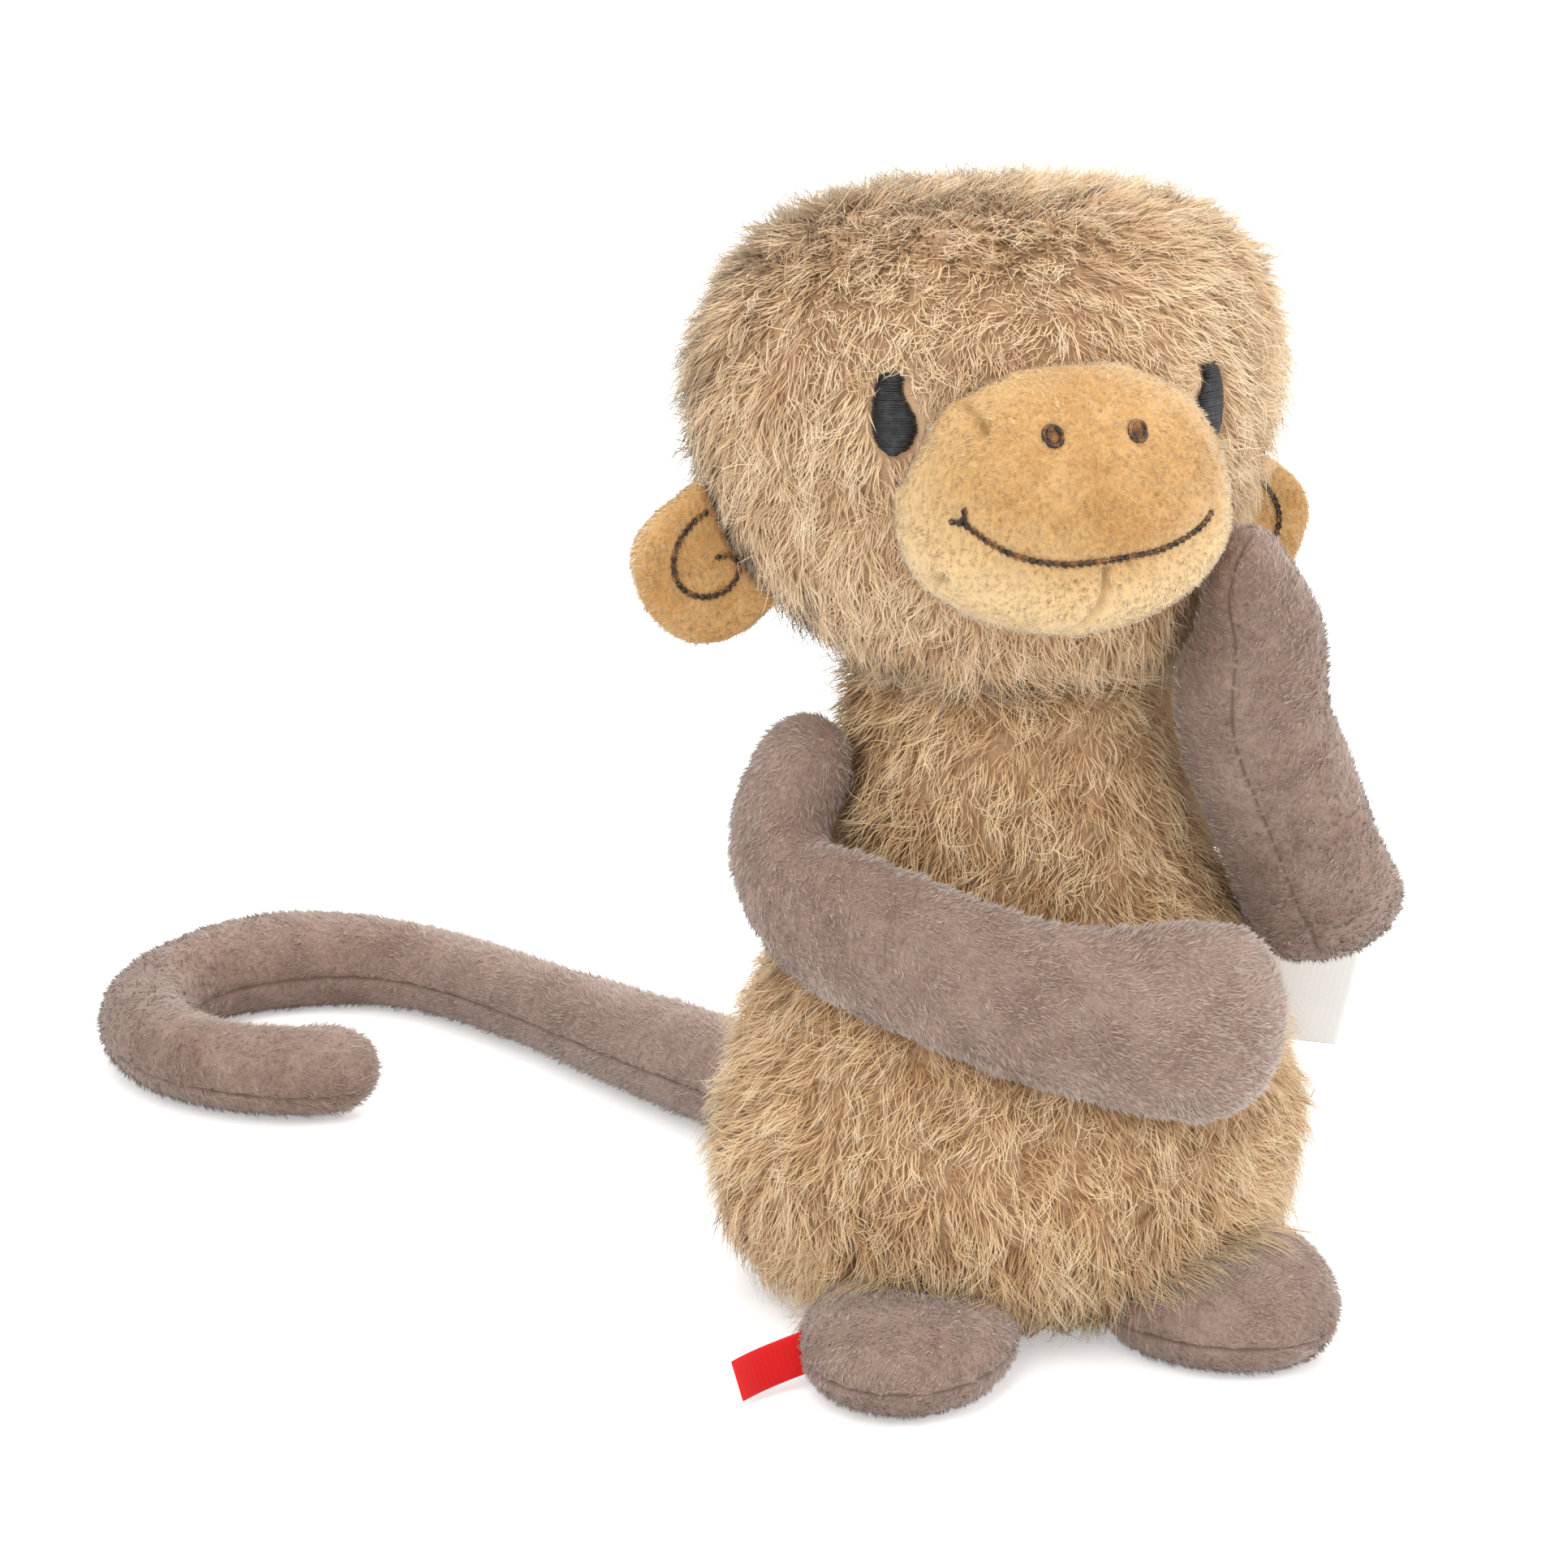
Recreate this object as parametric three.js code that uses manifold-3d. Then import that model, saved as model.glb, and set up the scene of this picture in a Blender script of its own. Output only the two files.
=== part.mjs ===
// A plush monkey that sits on the floor: furry body and head, a short-pile muzzle and ears,
// two long stuffed arms, two flat feet and a long tail that lies on the floor in a hook.
// One hand rests on the belly, and the other is held to the cheek.
// Millimetres, +Z up. The monkey faces -Y, so its right side is at -X.
// The origin is on the floor, under the middle of the seat.

import * as THREE from 'three';
import { mergeVertices } from 'three/addons/utils/BufferGeometryUtils.js';
import Module from 'manifold-3d';

// Cloth, and the clearances between pieces that are sewn together or lie side by side
const furClothThickness = 5;
const shortPileThickness = 3;
const sewnGap = 0.35;
const swingGap = 1;
const stitchThickness = 1;
const floorGap = 0.05;

// Body outline: radii from side to side, and the heights where they lie
const seatRadius = 44;
const seatRoundRadius = 61;
const seatRoundHeight = 11;
const bellyRadius = 71;
const bellyHeight = 40;
const waistRadius = 63;
const waistHeight = 77;
const chestRadius = 47;
const chestHeight = 115;
const shoulderRadius = 39.5;
const shoulderHeight = 150;
const neckRadius = 35;
const neckHeight = 166;
const neckThreadReach = 2.2;
const neckThreadRadius = 0.7;
const bodyDepthShare = 0.92;

// The bag of pellets that weighs the seat down
const pelletBagRadius = 36;
const pelletBagHeight = 18;

// Head outline: radii from side to side, and how high they lie above the neck seam
const jawRadius = 50;
const jawRise = 10.5;
const cheekRadius = 64;
const cheekRise = 32;
const templeRadius = 71.5;
const templeRise = 65;
const browRadius = 64.5;
const browRise = 89;
const crownRadius = 50;
const crownRise = 102;
const topRadius = 31;
const topRise = 109;
const headRise = 111;
const headDepthShare = 0.82;
const headLean = 9;
const neckTurn = 20;

// Muzzle, measured from the middle of the head
const muzzleHalfWidth = 39.5;
const muzzleHalfHeight = 32.5;
const muzzleHalfDepth = 36;
const muzzleForward = 48;
const muzzleRise = 50;
const muzzleSquareness = 2.35;
const muzzleTaper = 0.07;

// Face embroidery
const eyeHalfWidth = 5.2;
const eyeHalfHeight = 10;
const eyeSpacing = 76;
const eyeRise = 68.5;
const nostrilRadius = 2.3;
const nostrilSpacing = 20;
const nostrilRise = 69;
const mouthHalfWidth = 31;
const mouthEndRise = 50;
const mouthDip = 11.5;
const mouthStitchWidth = 1.8;

// Ears, measured along and out from the line where they are sewn to the head
const earRootRise = 28;
const earRootSlope = 36;
const earRootDepth = 2;
const earFlap = 20;
const earThickness = 8;
const earEdgeRound = 2.4;
const earBehindFace = 2;
const earStitchRadius = 0.6;

// Arms
const shoulderHalfWidth = 13.5;
const bendHalfWidth = 20;
const forearmHalfWidth = 20;
const handHalfWidth = 23;
const elbowHalfWidth = 20;
const raisedHandHalfWidth = 9.5;
const armHalfThickness = 12.5;
const handThinning = 1;
const raisedHandThinning = 2.5;
const shoulderSeat = 1;
const rightShoulderSeat = 4;
const rightShoulderRise = 2;
const limbMouthRadius = 6;
const cheekFurGap = 5;
const rightArmOpens = 60;
const leftArmOpens = 45;

// Tail
const tailRootRadius = 15.5;
const tailTipRadius = 13;
const tailRootHeight = 24;
const tailRootDepth = 6;
const tailSwing = 20;
const tailFloorGap = 0.3;
const tailCurlRadius = 50;
const tailCurlSide = 128;
const tailCurlBack = 219;
const tailCurlStart = 35;
const tailCurlEnd = 275;
const tailRootTurn = 12;
const tailRootLift = 3;
const tailMiddleAside = 4;

// Feet
const footHalfWidth = 27;
const footHalfLength = 35;
const footHeight = 27;
const footSeamHeight = 9.5;
const footSide = 38.8;
const feetShift = -6.2;
const footForward = 54.5;
const footToeOut = 30;
const footLift = 20;
const footHingeDrop = 6;

// Ribbon flag at the right foot and cloth label at the left side seam
const flagWidth = 9;
const flagLength = 19;
const flagRound = 20;
const flagTurn = 198;
const flagDroop = 9;
const labelWidth = 25;
const labelLength = 28;
const labelHeight = 66;
const labelTurn = 3;
const labelDroop = 14;
const ribbonThickness = 0.8;

// How finely the forms are made
const outlineSteps = 60;
const formRings = 18;
const formFacets = 36;
const hollowRings = 9;
const hollowFacets = 18;
const openingFacets = 20;
const muzzleRings = 14;
const muzzleFacets = 30;
const muzzleHollowRings = 10;
const muzzleHollowFacets = 20;
const pelletBagFacets = 16;
const footFacets = 20;
const neckThreadFacets = 24;
const threadSides = 4;
const earThreadSteps = 30;
const eyeFacets = 14;
const nostrilFacets = 8;
const mouthSteps = 12;
const limbCapSteps = 4;
const limbHollowSides = 8;
const limbHollowShare = 0.7;
const limbMouthFacets = 10;
const armSides = 14;
const rightArmSteps = 18;
const leftArmSteps = 20;
const tailSides = 12;
const tailSteps = 34;
const tailCurlStations = 8;
const swingStep = 10;

const library = await Module();
library.setup();

// Solids and how they are made

function toSolid(geometry) {
  const bare = geometry.clone();
  for (const name of Object.keys(bare.attributes)) {
    if (name !== 'position') {
      bare.deleteAttribute(name);
    }
  }
  const merged = mergeVertices(bare, 1e-4);
  const mesh = new library.Mesh({
    numProp: 3,
    vertProperties: Float32Array.from(merged.attributes.position.array),
    triVerts: Uint32Array.from(merged.index.array),
  });
  return new library.Manifold(mesh);
}

function toGeometry(solid) {
  const mesh = solid.getMesh();
  const geometry = new THREE.BufferGeometry();
  geometry.setAttribute('position', new THREE.BufferAttribute(mesh.vertProperties, 3));
  geometry.setIndex(new THREE.BufferAttribute(mesh.triVerts, 1));
  geometry.computeVertexNormals();
  return geometry;
}

function shapeVertices(geometry, shape) {
  const position = geometry.attributes.position;
  const point = new THREE.Vector3();
  for (let i = 0; i < position.count; i += 1) {
    point.fromBufferAttribute(position, i);
    shape(point);
    position.setXYZ(i, point.x, point.y, point.z);
  }
  return geometry;
}

// A solid from rings of points that run from one end to the other, closed to a point at both ends
function solidFromRings(start, rings, end) {
  const sides = rings[0].length;
  const points = [start, ...rings.flat(), end];
  const last = points.length - 1;
  const faces = [];
  for (let side = 0; side < sides; side += 1) {
    const next = (side + 1) % sides;
    faces.push(0, 1 + side, 1 + next);
    for (let ring = 0; ring < rings.length - 1; ring += 1) {
      const here = 1 + ring * sides;
      const there = here + sides;
      faces.push(here + side, there + next, here + next);
      faces.push(here + side, there + side, there + next);
    }
    const top = 1 + (rings.length - 1) * sides;
    faces.push(last, top + next, top + side);
  }
  const geometry = new THREE.BufferGeometry();
  const coordinates = points.flatMap((point) => point.toArray());
  geometry.setAttribute('position', new THREE.Float32BufferAttribute(coordinates, 3));
  geometry.setIndex(faces);
  return toSolid(geometry);
}

function radians(degrees) {
  return THREE.MathUtils.degToRad(degrees);
}

// A hinge is a point, a direction, and how far it turns each way from rest

function hinge(at, along, low, high) {
  return { at, along: along.clone().normalize(), low, high };
}

function turnedAbout(solid, pivot, degrees) {
  const geometry = toGeometry(solid);
  shapeVertices(geometry, (point) => {
    point.sub(pivot.at).applyAxisAngle(pivot.along, radians(degrees)).add(pivot.at);
  });
  return toSolid(geometry);
}

// Cuts from a piece what its neighbour would press on while the piece swings on its hinge
function clearOfSwing(piece, neighbour, pivot) {
  const steps = Math.ceil((pivot.high - pivot.low) / swingStep);
  let cleared = piece;
  for (let k = 0; k <= steps; k += 1) {
    const angle = THREE.MathUtils.lerp(pivot.low, pivot.high, k / steps);
    cleared = cleared.subtract(turnedAbout(neighbour, pivot, -angle));
  }
  return cleared;
}

// Body and head are outlines turned about Z, then drawn in from front to back

function outlineThrough(points, count) {
  const curve = new THREE.SplineCurve(points.map(([radius, height]) => new THREE.Vector2(radius, height)));
  return curve.getSpacedPoints(count);
}

function radiusOnOutline(outline, height) {
  for (let i = 1; i < outline.length; i += 1) {
    const low = outline[i - 1];
    const high = outline[i];
    if (height <= high.y) {
      const share = (height - low.y) / (high.y - low.y);
      return THREE.MathUtils.lerp(low.x, high.x, THREE.MathUtils.clamp(share, 0, 1));
    }
  }
  return outline[outline.length - 1].x;
}

const bodyPoints = [
  [seatRadius, 0],
  [seatRoundRadius, seatRoundHeight],
  [bellyRadius, bellyHeight],
  [waistRadius, waistHeight],
  [chestRadius, chestHeight],
  [shoulderRadius, shoulderHeight],
  [neckRadius, neckHeight],
];
const bodyOutline = outlineThrough(bodyPoints, outlineSteps);

const headFloor = neckHeight + sewnGap;
const headPoints = [
  [neckRadius, 0],
  [jawRadius, jawRise],
  [cheekRadius, cheekRise],
  [templeRadius, templeRise],
  [browRadius, browRise],
  [crownRadius, crownRise],
  [topRadius, topRise],
  [0, headRise],
];
const headOutline = outlineThrough(headPoints, outlineSteps);

function bodyDepthAt(height) {
  const share = THREE.MathUtils.smoothstep(height, chestHeight, neckHeight);
  return THREE.MathUtils.lerp(bodyDepthShare, 1, share);
}

function headDepthAt(rise) {
  return THREE.MathUtils.lerp(1, headDepthShare, THREE.MathUtils.smoothstep(rise, 0, cheekRise));
}

function headLeanAt(rise) {
  return -headLean * THREE.MathUtils.smoothstep(rise, 0, cheekRise);
}

// An outline grown or shrunk by a distance, closed on the axis at its foot and its top
function turnedOutline(points, count, grow) {
  const outline = outlineThrough(points, count);
  const low = outline[0].y - grow;
  const high = outline[outline.length - 1].y + grow;
  const grown = outline.map((point, i) => {
    const before = outline[Math.max(i - 1, 0)];
    const after = outline[Math.min(i + 1, outline.length - 1)];
    const along = after.clone().sub(before).normalize();
    const radius = Math.max(point.x + along.y * grow, 0);
    return new THREE.Vector2(radius, THREE.MathUtils.clamp(point.y - along.x * grow, low, high));
  });
  const profile = [new THREE.Vector2(0, low)];
  profile.push(new THREE.Vector2(grown[0].x, low));
  profile.push(...grown.slice(1, -1));
  const end = grown[grown.length - 1];
  if (outline[outline.length - 1].x > 0) {
    profile.push(new THREE.Vector2(end.x, high));
  }
  profile.push(new THREE.Vector2(0, high));
  return profile;
}

function turnedForm(profile, segments, shape) {
  const form = new THREE.LatheGeometry(profile, segments);
  form.rotateX(Math.PI / 2);
  shapeVertices(form, shape);
  return toSolid(form);
}

function bodyForm(grow, rings = formRings, facets = formFacets) {
  return turnedForm(turnedOutline(bodyPoints, rings, grow), facets, (point) => {
    point.y *= bodyDepthAt(point.z);
  });
}

function placeOnNeck(point) {
  point.x += headLeanAt(point.z);
  point.z += headFloor;
}

function headForm(grow, rings = formRings, facets = formFacets) {
  return turnedForm(turnedOutline(headPoints, rings, grow), facets, (point) => {
    point.y *= headDepthAt(point.z);
    placeOnNeck(point);
  });
}

// Places beside the body and the head, by the angle round them, the height and the stand-off

function besideBody(angle, height, standOff) {
  const turn = radians(angle);
  const wide = radiusOnOutline(bodyOutline, height);
  const deep = wide * bodyDepthAt(height);
  const reach = (wide * deep) / Math.hypot(deep * Math.cos(turn), wide * Math.sin(turn)) + standOff;
  return new THREE.Vector3(reach * Math.cos(turn), reach * Math.sin(turn), height);
}

function besideHead(angle, rise, standOff) {
  const turn = radians(angle);
  const wide = radiusOnOutline(headOutline, rise);
  const deep = wide * headDepthAt(rise);
  const reach = (wide * deep) / Math.hypot(deep * Math.cos(turn), wide * Math.sin(turn)) + standOff;
  const point = new THREE.Vector3(reach * Math.cos(turn), reach * Math.sin(turn), rise);
  placeOnNeck(point);
  return point;
}

// Boxes and cylinders that cut

function boxBetween(low, high) {
  const size = new THREE.Vector3().subVectors(high, low);
  const middle = new THREE.Vector3().addVectors(low, high).multiplyScalar(0.5);
  const box = new THREE.BoxGeometry(size.x, size.y, size.z);
  box.translate(middle.x, middle.y, middle.z);
  return toSolid(box);
}

function cylinderBetween(from, to, radius, segments) {
  const along = new THREE.Vector3().subVectors(to, from);
  const cylinder = new THREE.CylinderGeometry(radius, radius, along.length(), segments);
  const standing = new THREE.Vector3(0, 1, 0);
  const turn = new THREE.Quaternion().setFromUnitVectors(standing, along.clone().normalize());
  cylinder.applyQuaternion(turn);
  const middle = new THREE.Vector3().addVectors(from, to).multiplyScalar(0.5);
  cylinder.translate(middle.x, middle.y, middle.z);
  return toSolid(cylinder);
}

// Stuffed limbs: an oval section that follows a path, with rounded ends

function sizeAlong(stations, share) {
  for (let i = 1; i < stations.length; i += 1) {
    const [before, wideBefore, thickBefore] = stations[i - 1];
    const [after, wideAfter, thickAfter] = stations[i];
    if (share <= after) {
      const part = THREE.MathUtils.smoothstep(share, before, after);
      const wide = THREE.MathUtils.lerp(wideBefore, wideAfter, part);
      const thick = THREE.MathUtils.lerp(thickBefore, thickAfter, part);
      return [wide, thick];
    }
  }
  return stations[stations.length - 1].slice(1);
}

function limbForm(limb, inset, sides, steps) {
  const length = limb.path.getLength();
  const [startHalf] = sizeAlong(limb.sizes, 0);
  const [endHalf] = sizeAlong(limb.sizes, 1);
  const startCap = startHalf - inset;
  const endCap = endHalf - inset;
  const from = inset;
  const to = length - inset;
  const places = [];
  for (let k = 1; k < limbCapSteps; k += 1) {
    const angle = (k / limbCapSteps) * (Math.PI / 2);
    places.push([from + startCap * (1 - Math.cos(angle)), Math.sin(angle)]);
  }
  for (let k = 0; k <= steps; k += 1) {
    places.push([THREE.MathUtils.lerp(from + startCap, to - endCap, k / steps), 1]);
  }
  for (let k = limbCapSteps - 1; k > 0; k -= 1) {
    const angle = (k / limbCapSteps) * (Math.PI / 2);
    places.push([to - endCap * (1 - Math.cos(angle)), Math.sin(angle)]);
  }
  const rings = places.map(([distance, swell]) => {
    const share = distance / length;
    const middle = limb.path.getPointAt(share);
    const tangent = limb.path.getTangentAt(share);
    const across = limb.across(middle, tangent);
    const out = new THREE.Vector3().crossVectors(across, tangent).normalize();
    const [halfWidth, halfThickness] = sizeAlong(limb.sizes, share);
    const ring = [];
    for (let side = 0; side < sides; side += 1) {
      const angle = (side / sides) * 2 * Math.PI;
      ring.push(
        middle
          .clone()
          .addScaledVector(across, (halfWidth - inset) * swell * Math.cos(angle))
          .addScaledVector(out, (halfThickness - inset) * swell * Math.sin(angle)),
      );
    }
    return ring;
  });
  return solidFromRings(limb.path.getPointAt(from / length), rings, limb.path.getPointAt(to / length));
}

// A limb's cloth cover, open where it is sewn on, and the stuffing inside it
function limbPieces(limb, wall, sides, steps) {
  const hollowSteps = Math.round(steps * limbHollowShare);
  const [rootHalf] = sizeAlong(limb.sizes, 0);
  const inside = limb.path.getPointAt(rootHalf / limb.path.getLength());
  const axis = new THREE.Vector3(0, 0, inside.z);
  const mouth = cylinderBetween(inside, axis, limbMouthRadius, limbMouthFacets);
  const seat = bodyForm(sewnGap);
  const cover = limbForm(limb, 0, sides, steps)
    .subtract(limbForm(limb, wall, limbHollowSides, hollowSteps))
    .subtract(mouth);
  const stuffing = limbForm(limb, wall + sewnGap, limbHollowSides, hollowSteps);
  return [cover, stuffing].map((piece) => clearOfSwing(piece, seat, limb.hinge));
}

// The right arm hangs from the shoulder, bends at the waist and crosses the belly
function rightArm() {
  const lie = armHalfThickness + swingGap;
  const places = [
    besideBody(184, shoulderHeight + rightShoulderRise, armHalfThickness - rightShoulderSeat),
    besideBody(184, shoulderHeight - 11, lie + 1),
    besideBody(185.5, chestHeight + 12, lie + 5),
    besideBody(192, chestHeight + 1, lie + 4.5),
    besideBody(203, chestHeight - 5, lie + 2),
    besideBody(216, chestHeight - 8, lie),
    besideBody(228, chestHeight - 11, lie),
    besideBody(243, chestHeight - 16, lie),
    besideBody(263, chestHeight - 22, lie),
    besideBody(286, chestHeight - 26, lie),
    besideBody(303, chestHeight - 29, lie),
    besideBody(313, chestHeight - 30, lie),
  ];
  const sizes = [
    [0, shoulderHalfWidth, armHalfThickness],
    [0.2, shoulderHalfWidth, armHalfThickness],
    [0.34, bendHalfWidth, armHalfThickness],
    [0.55, forearmHalfWidth, armHalfThickness],
    [0.85, handHalfWidth, armHalfThickness],
    [1, handHalfWidth, armHalfThickness - handThinning],
  ];
  const across = (middle, tangent) => {
    const outward = new THREE.Vector3(middle.x, middle.y, 0).normalize();
    return new THREE.Vector3().crossVectors(tangent, outward).normalize();
  };
  return {
    path: new THREE.CatmullRomCurve3(places),
    sizes,
    across,
    hinge: hinge(places[0], new THREE.Vector3(0, 0, 1), -rightArmOpens, 0),
  };
}

// The left arm hangs from the shoulder, folds up at the elbow and holds its hand to the cheek
function leftArm() {
  const handLie = armHalfThickness - raisedHandThinning + swingGap + cheekFurGap;
  const places = [
    besideBody(2, shoulderHeight - 2, armHalfThickness - shoulderSeat),
    besideBody(2, shoulderHeight - 15, armHalfThickness - shoulderSeat),
    besideBody(1, shoulderHeight - 26, armHalfThickness + 4),
    besideBody(0, chestHeight - 3, armHalfThickness + 8.5),
    besideBody(-5, chestHeight - 14, armHalfThickness + 11),
    besideBody(-14, chestHeight - 19, armHalfThickness + 12.5),
    besideBody(-23, chestHeight - 14, armHalfThickness + 14),
    besideBody(-30, chestHeight - 1, armHalfThickness + 15),
    besideBody(-37, chestHeight + 21, armHalfThickness + 14),
    besideBody(-45, shoulderHeight + 7, armHalfThickness + 13),
    besideHead(-47, 13, handLie + 2),
    besideHead(-48.5, 25, handLie),
    besideHead(-51, 38, handLie),
  ];
  const sizes = [
    [0, shoulderHalfWidth, armHalfThickness],
    [0.2, shoulderHalfWidth, armHalfThickness],
    [0.36, elbowHalfWidth, armHalfThickness],
    [0.55, forearmHalfWidth, armHalfThickness],
    [0.78, forearmHalfWidth, armHalfThickness],
    [1, raisedHandHalfWidth, armHalfThickness - raisedHandThinning],
  ];
  const acrossFold = new THREE.Vector3(0.94, -0.19, 0.29);
  const across = (middle, tangent) => acrossFold.clone().projectOnPlane(tangent).normalize();
  return {
    path: new THREE.CatmullRomCurve3(places),
    sizes,
    across,
    hinge: hinge(places[0], new THREE.Vector3().subVectors(places[5], places[0]), -leftArmOpens, 0),
  };
}

// The tail leaves the back, comes down to the floor and ends in a hook
function tail() {
  const rootLie = tailRootRadius + tailFloorGap;
  const tipLie = tailTipRadius + tailFloorGap;
  const root = besideBody(90 + tailRootTurn, tailRootHeight, -tailRootDepth);
  const start = curlPoint(tailCurlStart, tipLie);
  const middle = new THREE.Vector3().lerpVectors(root, start, 0.5);
  middle.x += tailMiddleAside;
  middle.z = rootLie;
  const bend = new THREE.Vector3().lerpVectors(root, middle, 0.4).setZ(rootLie + tailRootLift);
  const places = [root, bend, middle];
  for (let k = 0; k <= tailCurlStations; k += 1) {
    const angle = THREE.MathUtils.lerp(tailCurlStart, tailCurlEnd, k / tailCurlStations);
    places.push(curlPoint(angle, tipLie));
  }
  const across = (at, tangent) => new THREE.Vector3(0, 0, 1).projectOnPlane(tangent).normalize();
  return {
    path: new THREE.CatmullRomCurve3(places),
    sizes: [
      [0, tailRootRadius, tailRootRadius],
      [0.2, tailRootRadius, tailRootRadius],
      [0.4, tailTipRadius, tailTipRadius],
      [1, tailTipRadius, tailTipRadius],
    ],
    across,
    hinge: hinge(
      besideBody(90 + tailRootTurn, tailRootHeight, sewnGap),
      new THREE.Vector3(0, 0, 1),
      -tailSwing,
      tailSwing,
    ),
  };
}

function curlPoint(angle, height) {
  const turn = radians(angle);
  return new THREE.Vector3(
    -tailCurlSide + tailCurlRadius * Math.cos(turn),
    tailCurlBack + tailCurlRadius * Math.sin(turn),
    height,
  );
}

// Body: fur cover, stuffing and the pellet bag in the seat

function bodyPieces() {
  const neckOpening = cylinderBetween(
    new THREE.Vector3(0, 0, neckHeight - 3 * furClothThickness),
    new THREE.Vector3(0, 0, neckHeight + furClothThickness),
    neckRadius - 2 * furClothThickness,
    openingFacets,
  );
  const cover = bodyForm(0)
    .subtract(bodyForm(-furClothThickness, hollowRings, hollowFacets))
    .subtract(neckOpening);
  const hollow = pelletBag(sewnGap, 1);
  const stuffing = bodyForm(-furClothThickness - sewnGap, hollowRings, hollowFacets).subtract(hollow);
  const bag = pelletBag(0, 0);
  return [cover, stuffing, bag];
}

// The bag lies on the seat cloth, in a hollow of the stuffing that is open below
function pelletBag(grow, openBelow) {
  const floor = furClothThickness + sewnGap;
  const radius = pelletBagRadius + grow;
  const outline = [
    [0, floor - openBelow],
    [radius * 0.8, floor - openBelow],
    [radius, floor + pelletBagHeight * 0.45],
    [radius * 0.75, floor + pelletBagHeight * 0.9 + grow],
    [0, floor + pelletBagHeight + grow],
  ];
  const profile = outline.map(([r, z]) => new THREE.Vector2(r, z));
  return turnedForm(profile, pelletBagFacets, (point) => {
    point.y *= bodyDepthShare;
  });
}

// Head: fur cover open at the neck, and its stuffing

function headPieces() {
  const neckOpening = cylinderBetween(
    new THREE.Vector3(0, 0, headFloor - furClothThickness),
    new THREE.Vector3(0, 0, headFloor + 3 * furClothThickness),
    neckRadius - 2 * furClothThickness,
    openingFacets,
  );
  const cover = headForm(0)
    .subtract(headForm(-furClothThickness, hollowRings, hollowFacets))
    .subtract(neckOpening);
  const stuffing = headForm(-furClothThickness - sewnGap, hollowRings, hollowFacets);
  return [cover, stuffing];
}

// Muzzle: a domed cushion sewn on the front of the head

function muzzleForm(grow, rings = muzzleRings, facets = muzzleFacets) {
  const form = new THREE.SphereGeometry(1, facets, rings);
  form.rotateX(Math.PI / 2);
  const power = muzzleSquareness;
  shapeVertices(form, (point) => {
    const wide = Math.pow(Math.abs(point.x), power) + Math.pow(Math.abs(point.z), power);
    const size = Math.pow(wide + Math.pow(Math.abs(point.y), power), 1 / power);
    point.set(
      (point.x / size) * (muzzleHalfWidth + grow) * (1 - (muzzleTaper * point.z) / size),
      (point.y / size) * (muzzleHalfDepth + grow) - muzzleForward,
      (point.z / size) * (muzzleHalfHeight + grow) + muzzleRise,
    );
    placeOnNeck(point);
  });
  return toSolid(form);
}

function muzzlePieces() {
  const head = headForm(sewnGap);
  const inner = muzzleForm(-shortPileThickness, muzzleHollowRings, muzzleHollowFacets);
  const cover = muzzleForm(0).subtract(inner).subtract(head);
  const wadding = muzzleForm(-shortPileThickness - sewnGap, muzzleHollowRings, muzzleHollowFacets);
  return [cover, wadding.subtract(head)];
}

// Embroidery is a thin skin that lies on the cloth, cut to its outline

function outlineBlock(points, depth) {
  const shape = new THREE.Shape(points.map(([x, z]) => new THREE.Vector2(x, z)));
  const block = new THREE.ExtrudeGeometry(shape, { depth, bevelEnabled: false });
  block.rotateX(Math.PI / 2);
  shapeVertices(block, placeOnNeck);
  return toSolid(block);
}

function ovalPoints(middle, rise, halfWidth, halfHeight, count) {
  const points = [];
  for (let i = 0; i < count; i += 1) {
    const angle = (i / count) * 2 * Math.PI;
    points.push([middle + halfWidth * Math.cos(angle), rise + halfHeight * Math.sin(angle)]);
  }
  return points;
}

function mouthPoints() {
  const low = [];
  const high = [];
  for (let i = 0; i <= mouthSteps; i += 1) {
    const side = (i / mouthSteps) * 2 - 1;
    const x = side * mouthHalfWidth;
    const rise = mouthEndRise - mouthDip * (1 - side * side);
    low.push([x, rise - mouthStitchWidth / 2]);
    high.unshift([x, rise + mouthStitchWidth / 2]);
  }
  return [...low, ...high];
}

function eyePiece(side) {
  const skin = headForm(sewnGap + stitchThickness)
    .subtract(headForm(sewnGap))
    .subtract(muzzleForm(sewnGap));
  const outline = ovalPoints((side * eyeSpacing) / 2, eyeRise, eyeHalfWidth, eyeHalfHeight, eyeFacets);
  return skin.intersect(outlineBlock(outline, 2 * templeRadius));
}

function muzzleSkin() {
  return muzzleForm(sewnGap + stitchThickness)
    .subtract(muzzleForm(sewnGap))
    .subtract(headForm(2 * sewnGap));
}

function nostrilPiece(skin, side) {
  const middle = (side * nostrilSpacing) / 2;
  const outline = ovalPoints(middle, nostrilRise, nostrilRadius, nostrilRadius, nostrilFacets);
  return skin.intersect(outlineBlock(outline, 2 * templeRadius));
}

// Ears: two sewn panels with a spiral embroidered on the front one

const earOutline = [
  [0, -18.3],
  [9, -18.9],
  [18, -15.8],
  [23.6, -9.7],
  [25.6, -1],
  [24.7, 7],
  [20.5, 15],
  [14, 19],
  [0, 19.5],
];
const earSpiral = [
  [4, 13.3],
  [9.2, 12.2],
  [13.2, 9.7],
  [15.9, 5.5],
  [16.2, 1.2],
  [13.5, -3.2],
  [8.5, -5.6],
  [4.9, -4.2],
  [4.3, -0.8],
  [6.8, 1.6],
];

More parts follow.
